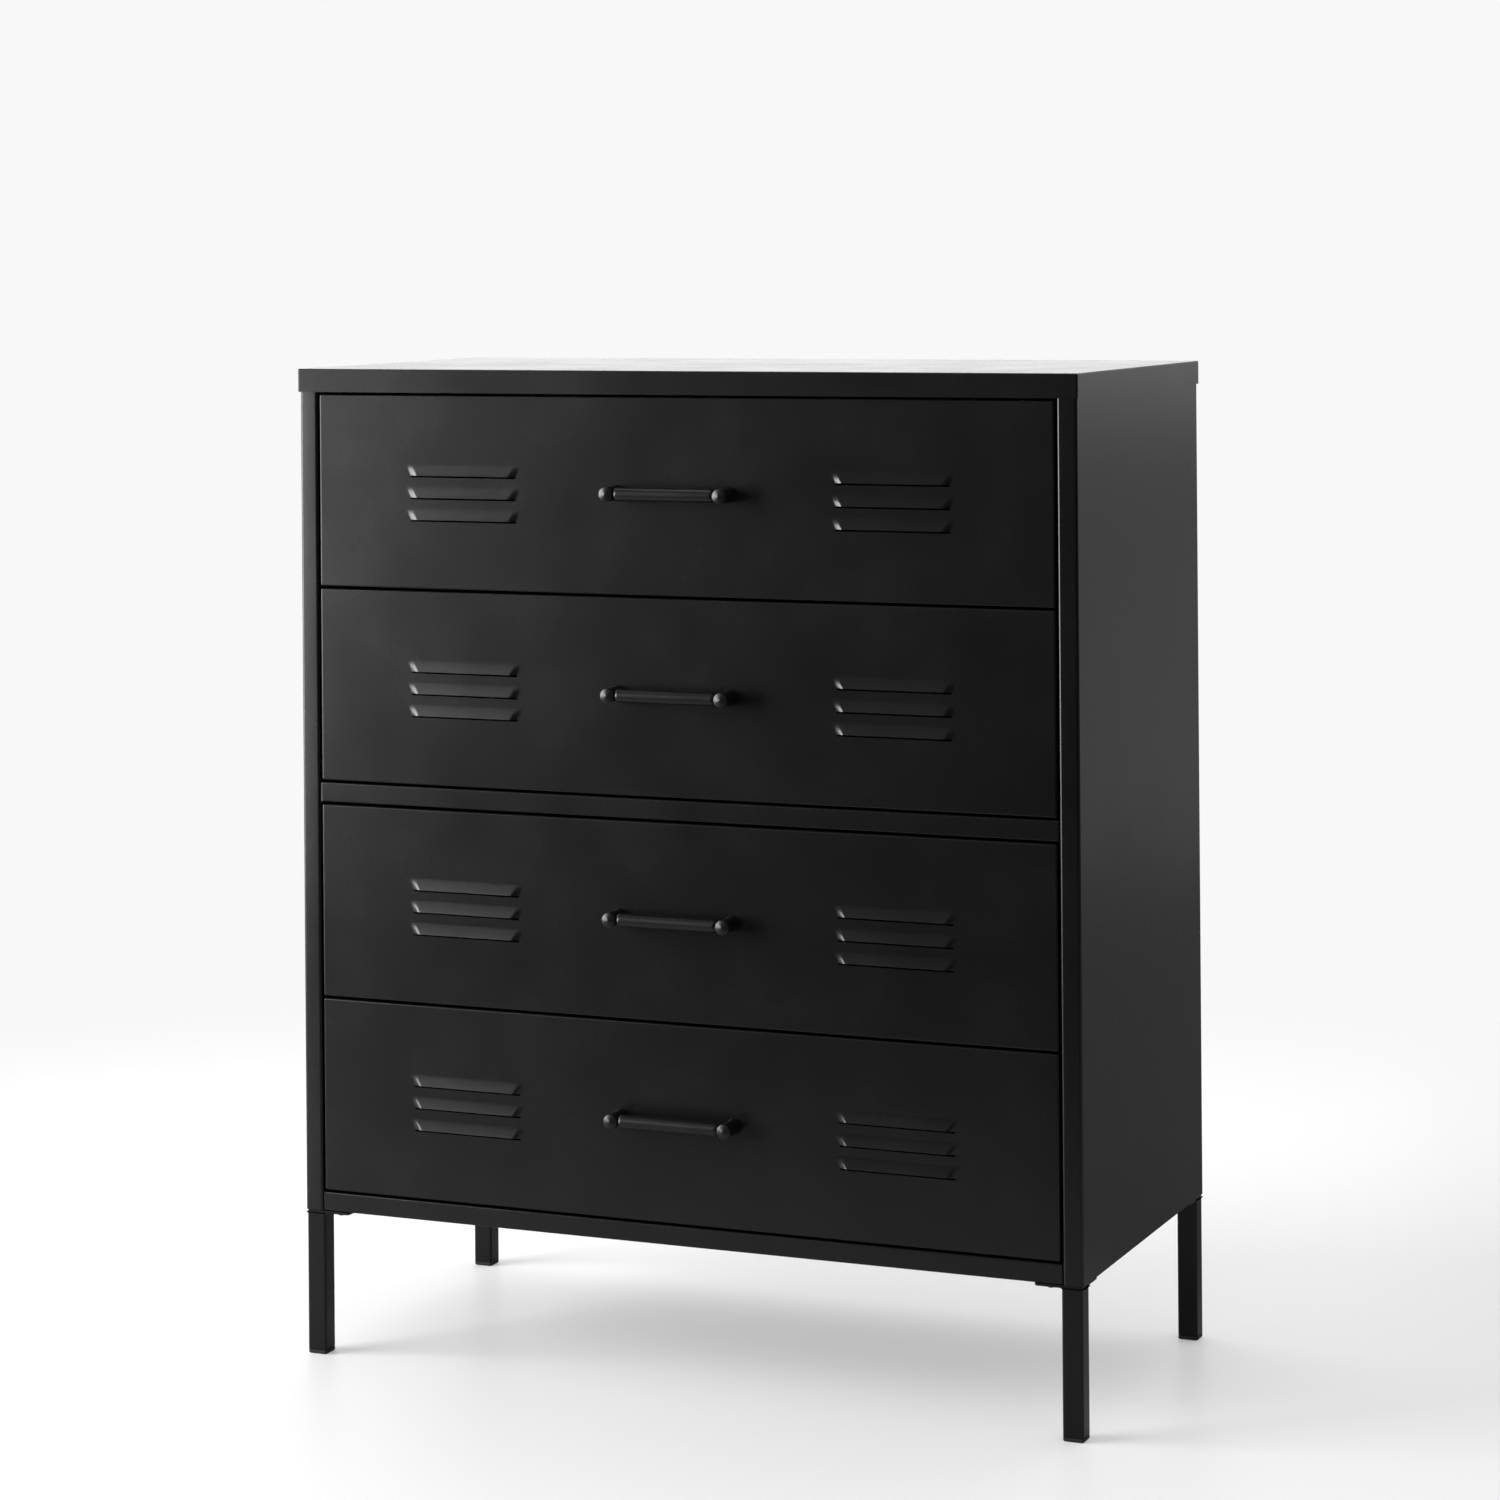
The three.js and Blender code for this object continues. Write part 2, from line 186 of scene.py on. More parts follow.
def mount(piece: bpy.types.Object, body: str, slot: str, *nodes: str) -> bpy.types.Object:
    """Attaches a finished piece to the body that it rides on, and hides the nodes that it stands
    for.

    Args:
        piece: the finished piece.
        body: the body that it moves with.
        slot: the record's material slot; not used.
        *nodes: CAD nodes that it replaces.

    Returns:
        The same piece.
    """
    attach(piece, body)
    if nodes:
        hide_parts(*nodes)
    LOG.info("%s: %d faces on %s", piece.name, len(piece.data.polygons), body)
    return piece


def middle(low: Vector, high: Vector) -> Vector:
    """The centre of a box."""
    return (low + high) / 2


def polar(radius: float, angle: float) -> tuple[float, float]:
    """Cosine and sine of an angle in radians, times a radius."""
    return radius * math.cos(angle), radius * math.sin(angle)


def smooth(share: float, rounding: float = 0.5) -> float:
    """A ramp from zero to one with rounded ends.

    Args:
        share: place along the ramp, from zero to one.
        rounding: share of the ramp that each rounded end takes, up to a half.

    Returns:
        The height of the ramp, held at zero and one beyond its ends.
    """
    share = min(max(share, 0.0), 1.0)
    if share > 0.5:
        return 1.0 - smooth(1.0 - share, rounding)
    if share < rounding:
        return share * share / (2 * rounding * (1 - rounding))
    return (share - rounding / 2) / (1 - rounding)


def rounded_square(half: float, radius: float, steps: int = 4) -> list[tuple[float, float]]:
    """Outline of a square with round corners, anticlockwise about the origin.

    Args:
        half: half the square's width.
        radius: corner radius.
        steps: segments in each corner.

    Returns:
        The outline's points.
    """
    points = []
    for corner in range(4):
        start = corner * math.pi / 2
        reach = half - radius
        centre_x = reach * (1 if corner in (0, 3) else -1)
        centre_y = reach * (1 if corner in (0, 1) else -1)
        for step in range(steps + 1):
            x, y = polar(radius, start + step / steps * math.pi / 2)
            points.append((centre_x + x, centre_y + y))
    return points


def add_loft(
    bm: bmesh.types.BMesh, rings: Sequence[Sequence[Vector]], close_start: bool, close_end: bool
) -> None:
    """Joins rings of points with equal counts into a skin.

    Args:
        bm: the mesh that gets the skin.
        rings: closed rings, one after the other.
        close_start: whether the first ring is filled.
        close_end: whether the last ring is filled.
    """
    made = [[bm.verts.new(point) for point in ring] for ring in rings]
    for lower, upper in zip(made, made[1:]):
        count = len(lower)
        for i in range(count):
            j = (i + 1) % count
            bm.faces.new((lower[i], lower[j], upper[j], upper[i]))
    if close_start:
        bm.faces.new(list(reversed(made[0])))
    if close_end:
        bm.faces.new(made[-1])


def add_turned(
    bm: bmesh.types.BMesh, profile: Outline, place: Matrix, segments: int
) -> None:
    """Turns a profile of radius and height about Z, closed at both ends on the axis.

    Args:
        bm: the mesh that gets the shape.
        profile: points of radius and height; the first and last have a radius above zero.
        place: turns and moves the shape from the Z axis to where it belongs.
        segments: facets round the axis.
    """
    angles = [2 * math.pi * i / segments for i in range(segments)]
    rings = [
        [place @ Vector((*polar(radius, angle), height)) for angle in angles]
        for radius, height in profile
    ]
    add_loft(bm, rings, True, True)


def arc(radius: float, start: float, stop: float, steps: int) -> list[tuple[float, float]]:
    """Points of cosine and sine times a radius, from one angle to another, in degrees."""
    angles = [math.radians(start + (stop - start) * i / steps) for i in range(steps + 1)]
    return [polar(radius, angle) for angle in angles]


# ------------------------------------------------------------------ finishes


def surface(
    name: str,
    colours: tuple[str, str],
    mottle_mm: float,
    roughness: tuple[float, float],
    grain_mm: float,
    grain_depth_mm: float,
    **fixed: float,
) -> bpy.types.Material:
    """A coated or bare surface with slow colour variation, patchy gloss and fine relief.

    Args:
        name: the material's name.
        colours: darkest and lightest colour, as hex.
        mottle_mm: size of the colour and gloss patches.
        roughness: lowest and highest roughness.
        grain_mm: size of the relief.
        grain_depth_mm: height of the relief.
        **fixed: values set directly on the shader, with underscores for spaces.

    Returns:
        The material.
    """
    material = bpy.data.materials.new(name)
    material.use_nodes = True
    tree = material.node_tree
    tree.nodes.clear()
    place = add_node(tree, "ShaderNodeTexCoord").outputs["Object"]
    patches = add_node(
        tree,
        "ShaderNodeTexNoise",
        {"Vector": place, "Scale": 1 / (mottle_mm * MM), "Detail": 3.0, "Roughness": 0.55},
    ).outputs["Fac"]
    colour = add_node(tree, "ShaderNodeMix", {"Factor": patches}, data_type="RGBA")
    for socket in colour.inputs:
        if socket.type == "RGBA" and socket.name in "AB":
            socket.default_value = linear(colours["AB".index(socket.name)])
    gloss = add_node(
        tree,
        "ShaderNodeMapRange",
        {
            "Value": patches,
            "From Min": 0.3,
            "From Max": 0.7,
            "To Min": roughness[0],
            "To Max": roughness[1],
        },
    ).outputs["Result"]
    grain = add_node(
        tree,
        "ShaderNodeTexNoise",
        {"Vector": place, "Scale": 1 / (grain_mm * MM), "Detail": 2.0, "Roughness": 0.5},
    ).outputs["Fac"]
    relief = add_node(
        tree,
        "ShaderNodeBump",
        {"Height": grain, "Strength": 1.0, "Distance": grain_depth_mm * MM},
    ).outputs["Normal"]
    mixed = next(socket for socket in colour.outputs if socket.type == "RGBA")
    shader = add_node(
        tree,
        "ShaderNodeBsdfPrincipled",
        {"Base Color": mixed, "Roughness": gloss, "Normal": relief},
    )
    for socket, value in fixed.items():
        shader.inputs[socket.replace("_", " ")].default_value = value
    add_node(tree, "ShaderNodeOutputMaterial", {"Surface": shader.outputs["BSDF"]})
    return material


@dataclass(frozen=True)
class PowderCoat:
    """Polyester powder baked on steel: deep neutral black, satin, with a faint orange peel.

    The peel is 1 to 2 mm across and a few microns deep, so that broad highlights break up
    softly instead of mirroring what is round the chest.
    """

    name: str
    dark: str = "#060607"
    light: str = "#090909"
    roughness: tuple[float, float] = (0.25, 0.285)
    peel_mm: float = 1.6
    peel_depth_mm: float = 0.004
    specular: float = 0.5

    def material(self) -> bpy.types.Material:
        """Makes the coat's material."""
        return surface(
            self.name,
            (self.dark, self.light),
            90.0,
            self.roughness,
            self.peel_mm,
            self.peel_depth_mm,
            IOR=1.5,
            Specular_IOR_Level=self.specular,
        )


@dataclass(frozen=True)
class Enamel:
    """Smooth sprayed enamel on a turned part: satin black, without the powder coat's peel."""

    name: str = "handle_stove_enamel"
    dark: str = "#070708"
    light: str = "#0a0a0a"

    def material(self) -> bpy.types.Material:
        """Makes the enamel's material."""
        return surface(self.name, (self.dark, self.light), 25.0, (0.29, 0.33), 3.0, 0.001, IOR=1.5)


@dataclass(frozen=True)
class MouldedPlastic:
    """Injection-moulded polyethylene: dull black with a fine spark-eroded texture."""

    name: str = "foot_moulded_polyethylene"
    dark: str = "#0f0f10"
    light: str = "#141415"

    def material(self) -> bpy.types.Material:
        """Makes the plastic's material."""
        return surface(self.name, (self.dark, self.light), 8.0, (0.5, 0.6), 0.5, 0.012, IOR=1.49)


@dataclass(frozen=True)
class ZincPlate:
    """Bright zinc on rolled steel: cool grey metal with a faint cloudy spangle."""

    name: str
    dark: str = "#8f9498"
    light: str = "#b4b8ba"
    roughness: tuple[float, float] = (0.26, 0.4)

    def material(self) -> bpy.types.Material:
        """Makes the zinc's material."""
        return surface(
            self.name, (self.dark, self.light), 12.0, self.roughness, 0.8, 0.003, Metallic=1.0
        )


class Slot(Enum):
    """The record's material slots, each with its finish."""

    CABINET = ("black_powder_coat", PowderCoat("cabinet_powder_coat"))
    LEG = ("leg_powder_coat", PowderCoat("leg_satin_coat", "#050506", "#080808", specular=0.4))
    TRAY = ("tray_powder_coat", PowderCoat("tray_matt_coat", "#0c0c0d", "#101011", (0.42, 0.5)))
    HANDLE = ("handle_enamel", Enamel())
    FOOT = ("foot_plastic", MouldedPlastic())
    RUNNER = ("zinc_runner", ZincPlate("runner_bright_zinc"))
    CAGE = ("zinc_cage", ZincPlate("cage_dull_zinc", "#7c8084", "#9a9ea1", (0.36, 0.48)))
    SCREW = ("zinc_screw", ZincPlate("screw_bright_zinc", "#9a9da0", "#b9bcbe", (0.2, 0.3)))

    def __init__(self, slot: str, finish: PowderCoat | Enamel | MouldedPlastic | ZincPlate) -> None:
        """Keeps the record's name for the slot and its finish."""
        self.slot = slot
        self.finish = finish

    @property
    def material(self) -> bpy.types.Material:
        """The finish's material, made on first use."""
        return bpy.data.materials.get(self.finish.name) or self.finish.material()


def finish_shell(
    name: str,
    bm: bmesh.types.BMesh,
    slot: Slot,
    body: str,
    *nodes: str,
    sharp_degrees: float = 40.0,
) -> None:
    """Turns a shell's faces outwards, smooths it, dresses it and mounts it.

    Args:
        name: the piece's name.
        bm: its geometry.
        slot: its finish.
        body: the body that it moves with.
        *nodes: CAD nodes that it replaces.
        sharp_degrees: an edge sharper than this stays sharp.
    """
    bmesh.ops.recalc_face_normals(bm, faces=bm.faces)
    piece = new_piece(name, bm, slot.material)
    smooth_folds(piece, sharp_degrees)
    mount(piece, body, slot.slot, *nodes)


# ------------------------------------------------------------------ folded sheet


@dataclass
class FoldedSheet:
    """The outer face of a folded sheet, gathered flat by flat, which then gets its thickness.

    Attributes:
        name: the piece's name.
        thickness: of the steel; it lies inside the outer face.
        fold_radius: outside radius of a right-angled fold.
        crease_share: radius of shallower creases, as a share of the fold's.
        segments: steps round each fold.
        flats: the flat faces, each with its outward side.
    """

    name: str
    thickness: float = 1.0 * MM
    fold_radius: float = 1.8 * MM
    crease_share: float = 0.5
    segments: int = 4
    flats: list[tuple[Vector, list[Vector]]] = field(default_factory=list)

    def flat(self, outward: Point, *corners: Iterable[float]) -> None:
        """Adds a flat face.

        Args:
            outward: which way its outer side looks.
            *corners: its corners, in order round it.
        """
        self.flats.append((Vector(outward), [Vector(corner) for corner in corners]))

    def wall(
        self,
        axis: int,
        sign: int,
        at: float,
        across: tuple[float, float],
        along: tuple[float, float],
    ) -> None:
        """Adds a rectangle square to an axis.

        Args:
            axis: 0, 1 or 2 for X, Y or Z.
            sign: which way its outer side looks along the axis, -1 or 1.
            at: its place on the axis.
            across: its two places on the first of the other axes.
            along: its two places on the last of them.
        """
        outward = [0.0, 0.0, 0.0]
        outward[axis] = float(sign)
        corners = []
        for u, v in ((0, 0), (1, 0), (1, 1), (0, 1)):
            corner = [across[u], along[v]]
            corner.insert(axis, at)
            corners.append(corner)
        self.flat(tuple(outward), *corners)

    def pan(self, low: Point, high: Point, open_side: Point) -> None:
        """Adds the faces of a box with one side open.

        Args:
            low: lowest corner of the box.
            high: highest corner of the box.
            open_side: outward direction of the face that is left out.
        """
        for axis in range(3):
            u, v = [i for i in range(3) if i != axis]
            for sign, at in ((-1, low[axis]), (1, high[axis])):
                if open_side[axis] != sign:
                    self.wall(axis, sign, at, (low[u], high[u]), (low[v], high[v]))

    def strip(self, outline: Sequence[Point], along: Vector, inside: Vector) -> None:
        """Adds one face for each stretch of an open outline, pushed along a direction.

        Args:
            outline: points of the folded section.
            along: the push.
            inside: a point on the inner side of every face.
        """
        points = [Vector(point) for point in outline]
        for start, stop in zip(points, points[1:]):
            normal = (stop - start).cross(along).normalized()
            if normal.dot((start + stop) / 2 - inside) < 0:
                normal = -normal
            self.flat(normal, start, stop, stop + along, start + along)

    def surface_mesh(self) -> bmesh.types.BMesh:
        """Welds the flats and marks each fold with its share of the fold radius."""
        bm = bmesh.new()
        for outward, corners in self.flats:
            face = bm.faces.new([bm.verts.new(corner) for corner in corners])
            face.normal_update()
            if face.normal.dot(outward) < 0:
                face.normal_flip()
        bmesh.ops.remove_doubles(bm, verts=bm.verts, dist=1e-6)
        bm.normal_update()
        weights = bm.edges.layers.float.new("bevel_weight_edge")
        for edge in bm.edges:
            if len(edge.link_faces) == 2:
                bend = math.degrees(edge.calc_face_angle(0.0))
                edge[weights] = 1.0 if bend > 75 else self.crease_share if bend > 3 else 0.0
        return bm

    def thicken(self, piece: bpy.types.Object) -> bpy.types.Object:
        """Rounds the folds of a surface and gives it the sheet's thickness."""
        rounding = piece.modifiers.new("folds", "BEVEL")
        rounding.limit_method = "WEIGHT"
        rounding.width = self.fold_radius
        rounding.segments = self.segments
        rounding.miter_outer = "MITER_ARC"
        gauge = piece.modifiers.new("gauge", "SOLIDIFY")
        gauge.thickness = self.thickness
        gauge.offset = -1.0
        gauge.use_even_offset = True
        bake_modifiers(piece)
        smooth_folds(piece)
        return piece

    def piece(self, slot: Slot) -> bpy.types.Object:
        """Builds the finished sheet in a slot's finish."""
        return self.thicken(new_piece(self.name, self.surface_mesh(), slot.material))


# ------------------------------------------------------------------ geometry node trees


@dataclass
class NodeTree:
    """A geometry node tree with named inputs, which can be run on a mesh.

    Attributes:
        name: the tree's name.
        tree: the tree itself.
        sockets: each named input's identifier.
        entry: the node that gives the inputs.
    """

    name: str
    tree: bpy.types.NodeTree = field(init=False)
    sockets: dict[str, str] = field(default_factory=dict)
    entry: bpy.types.Node = field(init=False)

    def __post_init__(self) -> None:
        """Makes the empty tree with its geometry input and output."""
        self.tree = bpy.data.node_groups.new(self.name, "GeometryNodeTree")
        for way in ("INPUT", "OUTPUT"):
            self.tree.interface.new_socket(
                "Geometry", in_out=way, socket_type="NodeSocketGeometry"
            )
        self.entry = self.tree.nodes.new("NodeGroupInput")

    def ask(self, name: str, kind: str) -> bpy.types.NodeSocket:
        """Adds a named input.

        Args:
            name: the input's name.
            kind: Float, Int, Vector, Object or Material.

        Returns:
            The socket that gives its value.
        """
        item = self.tree.interface.new_socket(name, in_out="INPUT", socket_type=f"NodeSocket{kind}")
        self.sockets[name] = item.identifier
        return self.entry.outputs[name]

    def node(self, kind: str, inputs: dict | None = None, **settings: object) -> bpy.types.Node:
        """Adds a node of the geometry family."""
        return add_node(self.tree, kind, inputs, **settings)

    def two_rows(
        self, shape: bpy.types.NodeSocket, *others: bpy.types.NodeSocket
    ) -> bpy.types.NodeSocket:
        """Repeats a shape in two equal rows, placed by the inputs that it adds.

        Args:
            shape: what is repeated.
            *others: geometry that the rows are joined to.

        Returns:
            The joined geometry.
        """
        places = {
            "Count": self.ask("Count", "Int"),
            "Start Location": self.ask("First", "Vector"),
            "Offset": self.ask("Pitch", "Vector"),
        }
        line = self.node("GeometryNodeMeshLine", places).outputs["Mesh"]
        row = self.node("GeometryNodeInstanceOnPoints", {"Points": line, "Instance": shape})
        first = row.outputs["Instances"]
        shift = {"Geometry": first, "Translation": self.ask("Row Gap", "Vector")}
        second = self.node("GeometryNodeTransform", shift).outputs["Geometry"]
        joined = self.node("GeometryNodeJoinGeometry")
        for part in (*others, first, second):
            self.tree.links.new(part, joined.inputs["Geometry"])
        return joined.outputs["Geometry"]

    def close(self, shape: bpy.types.NodeSocket) -> None:
        """Ends the tree: realizes instances, sets the material input and gives the result."""
        material = self.ask("Material", "Material")
        real = self.node("GeometryNodeRealizeInstances", {"Geometry": shape}).outputs["Geometry"]
        dressed = self.node("GeometryNodeSetMaterial", {"Geometry": real, "Material": material})
        self.node("NodeGroupOutput", {"Geometry": dressed.outputs["Geometry"]})

    def run(self, piece: bpy.types.Object, **values: object) -> None:
        """Runs the tree on a piece and keeps the result as its plain mesh.

        Args:
            piece: the piece that gets the tree.
            **values: the inputs, with underscores for spaces.
        """
        modifier = piece.modifiers.new(self.name, "NODES")
        modifier.node_group = self.tree
        for name, value in values.items():
            modifier[self.sockets[name.replace("_", " ")]] = value
        bake_modifiers(piece)


def screw_tree() -> NodeTree:
    """Tree that seats a screw on every point, turned to face along its attribute."""
    made = NodeTree("seated_screws")
    head = made.ask("Head", "Object")
    facing = made.node(
        "GeometryNodeInputNamedAttribute", {"Name": "facing"}, data_type="FLOAT_VECTOR"
    )
    turn = made.node(
        "FunctionNodeAlignRotationToVector", {"Vector": facing.outputs["Attribute"]}, axis="Z"
    )
    screw = made.node("GeometryNodeObjectInfo", {"Object": head}, transform_space="ORIGINAL")
    seated = made.node(
        "GeometryNodeInstanceOnPoints",
        {
            "Points": made.entry.outputs["Geometry"],
            "Instance": screw.outputs["Geometry"],
            "Rotation": turn.outputs["Rotation"],
        },
    )
    made.close(seated.outputs["Instances"])
    return made


def ball_tree() -> NodeTree:
    """Tree that lays two rows of balls along Y."""
    made = NodeTree("ball_rows")
    radius = made.ask("Ball Radius", "Float")
    ball = made.node("GeometryNodeMeshIcoSphere", {"Radius": radius, "Subdivisions": 2})
    made.close(made.two_rows(ball.outputs["Mesh"]))
    return made


def louvre_tree() -> NodeTree:
    """Tree that welds two banks of louvres into the holes of a drawer front."""
    made = NodeTree("louvre_banks")
    louvre = made.ask("Louvre", "Object")
    shape = made.node("GeometryNodeObjectInfo", {"Object": louvre}, transform_space="ORIGINAL")
    joined = made.two_rows(shape.outputs["Geometry"], made.entry.outputs["Geometry"])
    real = made.node("GeometryNodeRealizeInstances", {"Geometry": joined})
    welded = made.node(
        "GeometryNodeMergeByDistance",
        {"Geometry": real.outputs["Geometry"], "Distance": 0.02 * MM},
    )
    made.close(welded.outputs["Geometry"])
    return made


@dataclass
class Fasteners:
    """Button-head screws with a hexagon socket, seated by a geometry node tree.

    Attributes:
        tree: the tree that seats them.
        segments: facets round a head.
        socket: the hexagon's half width, as a share of the head's radius.
    """

    tree: NodeTree = field(default_factory=screw_tree)
    segments: int = 24
    socket: float = 0.42

    def head(self, radius: float, height: float) -> bpy.types.Object:
        """Models one screw head on the XY plane, to be seated.

        Args:
            radius: of the head.
            height: of the head above its seat.

        Returns:
            A helper object, to be removed after use.
        """
        angles = [2 * math.pi * i / self.segments for i in range(self.segments)]
        dome = [(radius * 0.97, 0.0)]
        for a in (0.0, 0.5, 0.9):
            dome.append((radius * math.cos(a), height * (0.25 + 0.75 * math.sin(a))))
        sixth = math.pi / 3
        hexagon = [radius * self.socket / math.cos(a % sixth - math.pi / 6) for a in angles]
        levels = [([reach] * self.segments, z) for reach, z in dome]
        levels.append(([reach * 1.06 for reach in hexagon], height))
        levels += [(hexagon, height * share) for share in (0.94, 0.3)]
        loops = [
            [Vector((*polar(reach, angle), z)) for reach, angle in zip(reaches, angles)]
            for reaches, z in levels
        ]
        bm = bmesh.new()
        add_loft(bm, loops, True, True)
        bmesh.ops.recalc_face_normals(bm, faces=bm.faces)
        helper = new_piece("screw_pattern", bm, Slot.SCREW.material)
        helper.data.polygons.foreach_set("use_smooth", [True] * len(helper.data.polygons))
        helper.data.set_sharp_from_angle(angle=math.radians(38))
        return helper

    def seat(
        self,
        name: str,
        body: str,
        seats: Sequence[tuple[Point, Point]],
        radius: float,
        height: float,
        slot: Slot = Slot.SCREW,
    ) -> None:
        """Seats a group of equal screws as one piece.

        Args:
            name: the piece's name.
            body: the body that they ride on.
            seats: for each screw, where it sits and which way its head faces.
            radius: of the heads.
            height: of the heads.
            slot: their finish.
        """
        bm = bmesh.new()
        facing = bm.verts.layers.float_vector.new("facing")
        for place, direction in seats:
            bm.verts.new(place)[facing] = Vector(direction)
        piece = new_piece(name, bm, slot.material)
        pattern = self.head(radius, height)
        self.tree.run(piece, Head=pattern, Material=slot.material)
        bpy.data.objects.remove(pattern)
        mount(piece, body, slot.slot)


# ------------------------------------------------------------------ cabinet


@dataclass
class Cabinet:
    """The fixed carcass: lid, sides, back, floor, shelf and their fastenings.

    Attributes:
        body: the body that it all belongs to.
        sheet: thickness of the folded panels.
        post_return: depth of the flange that each post turns inwards.
        spring_back: of each front post's outer edge, since the folds open a little.
        rail_return: depth of the flange along a rail's free edge.
        rib_inset: from the back's edges to the ends of its pressed grooves.
        rib_half: half the width of a groove.
        rib_depth: of a groove.
    """

    body: str = "cabinet"
    sheet: float = 1.0 * MM
    post_return: float = 36 * MM
    spring_back: float = 0.35 * MM
    rail_return: float = 14 * MM
    rib_inset: float = 70 * MM
    rib_half: float = 9 * MM
    rib_depth: float = 1.6 * MM

    def build(self, screws: Fasteners) -> None:
        """Builds and dresses the carcass's panels and the back's screws.

        Args:
            screws: seats the fasteners.
        """
        self.top_panel()
        self.back_panel()
        self.railed_sheet("bottom_panel", sheet_at_top=False)
        self.railed_sheet("middle_shelf", sheet_at_top=True)
        for side in Side:
            self.side_panel(side)
        self.fasten_back(screws)

    def dress(self, piece: bpy.types.Object, *nodes: str) -> None:
        """Mounts a piece, already in the cabinet's powder coat, on the cabinet's body."""
        mount(piece, self.body, Slot.CABINET.slot, *nodes)

    def top_panel(self) -> None:
        """Shallow lid with its edge folded down and its corners welded."""
        low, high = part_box("top_panel")
        lid = FoldedSheet("top_lid", self.sheet, fold_radius=1.6 * MM)
        lid.pan(low, high, (0, 0, -1))
        self.dress(lid.piece(Slot.CABINET), "top_panel")

    def side_panel(self, side: Side) -> None:
        """Side skin folded round into a front and a rear post, with stiffening flanges."""
        node = f"{side.label}_side_panel"
        low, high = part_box(node)
        outer, inner = (low.x, high.x) if side is Side.LEFT else (high.x, low.x)
        outline = [
            (inner, low.y + self.post_return, low.z),
            (inner, low.y, low.z),
            (outer, low.y + self.spring_back, low.z),
            (outer, high.y, low.z),
            (inner, high.y, low.z),
            (inner, high.y - self.post_return, low.z),
        ]
        inside = Vector(((outer + inner) / 2, middle(low, high).y, low.z))
        skin = FoldedSheet(f"{side.label}_side_sheet", self.sheet, fold_radius=2.8 * MM)
        skin.strip(outline, Vector((0, 0, high.z - low.z)), inside)
        reach = low.y + self.post_return + 2 * MM, high.y - self.post_return - 2 * MM
        edge = outer - side.value * self.sheet
        for level, outward in ((low.z, -1.0), (high.z, 1.0)):
            skin.flat(
                (0, 0, outward),
                (edge, reach[0], level),
                (edge, reach[1], level),
                (inner, reach[1], level),
                (inner, reach[0], level),
            )
        self.dress(skin.piece(Slot.CABINET), node)

    def railed_sheet(self, node: str, sheet_at_top: bool) -> None:
        """Sheet with four folded edges, the front one folded again to make a rail.

        Args:
            node: the CAD node that it stands for.
            sheet_at_top: whether the sheet is the upper side, as on the shelf.
        """
        low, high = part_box(node)
        free = low.z if sheet_at_top else high.z
        flat = high.z if sheet_at_top else low.z
        up = 1 if sheet_at_top else -1
        notch = 2.5 * MM
        x0, x1 = low.x + notch, high.x - notch
        across, deep, tall = (low.x, high.x), (low.y, high.y), (flat, free)
        tray = FoldedSheet(f"{node}_sheet", self.sheet, fold_radius=1.6 * MM)
        tray.wall(2, up, flat, across, deep)
        tray.flat(
            (0, -1, 0),
            (low.x, low.y, flat),
            (high.x, low.y, flat),
            *[(x, low.y, free) for x in (high.x, x1, x0, low.x)],
        )
        tray.wall(2, -up, free, (x0, x1), (low.y, low.y + self.rail_return))
        tray.wall(1, 1, high.y, across, tall)
        for sign, x in ((-1, low.x), (1, high.x)):
            tray.wall(0, sign, x, deep, tall)
        self.dress(tray.piece(Slot.CABINET), node)

    def back_panel(self) -> None:
        """Flat back with two shallow grooves pressed in to stiffen it."""
        low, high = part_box("back_panel")
        back = FoldedSheet("back_sheet", high.y - low.y, fold_radius=1.6 * MM, crease_share=1.0)
        y = high.y
        span = high.z - low.z
        x0, x1 = low.x + self.rib_inset, high.x - self.rib_inset
        levels = [low.z + span * share for share in (0.25, 0.75)]
        edges = [low.z]
        slant = self.rib_depth * 1.5
        for level in levels:
            edges += [level - self.rib_half, level + self.rib_half]
        edges.append(high.z)
        up = (0, 1, 0)
        for i, (z0, z1) in enumerate(zip(edges, edges[1:])):
            if i % 2 == 0:
                bottom = [(x0, y, z0), (x1, y, z0)] if i else []
                top = [(x1, y, z1), (x0, y, z1)] if i < len(edges) - 2 else []
                lower = [(low.x, y, z0), *bottom, (high.x, y, z0)]
                upper = [(high.x, y, z1), *top, (low.x, y, z1)]
                back.flat(up, *lower, *upper)
                continue
            back.wall(1, 1, y, (low.x, x0), (z0, z1))
            back.wall(1, 1, y, (x1, high.x), (z0, z1))
            deep = y - self.rib_depth
            outer = [(x0, y, z0), (x1, y, z0), (x1, y, z1), (x0, y, z1)]
            inner = [
                (x0 + slant, deep, z0 + slant),
                (x1 - slant, deep, z0 + slant),
                (x1 - slant, deep, z1 - slant),
                (x0 + slant, deep, z1 - slant),
            ]
            back.flat(up, *inner)
            for j in range(4):
                k = (j + 1) % 4
                back.flat(up, outer[j], outer[k], inner[k], inner[j])
        self.dress(back.piece(Slot.CABINET), "back_panel")

    def fasten_back(self, screws: Fasteners) -> None:
        """Screws the back to the rear posts, evenly up both edges."""
        low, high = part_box("back_panel")
        inset = 5 * MM
        count = 6
        seats = []
        for i in range(count):
            z = low.z + 20 * MM + (high.z - low.z - 40 * MM) * i / (count - 1)
            seats += [((x, high.y, z), (0.0, 1.0, 0.0)) for x in (low.x + inset, high.x - inset)]
        screws.seat("back_screws", self.body, seats, 3.6 * MM, 1.9 * MM)


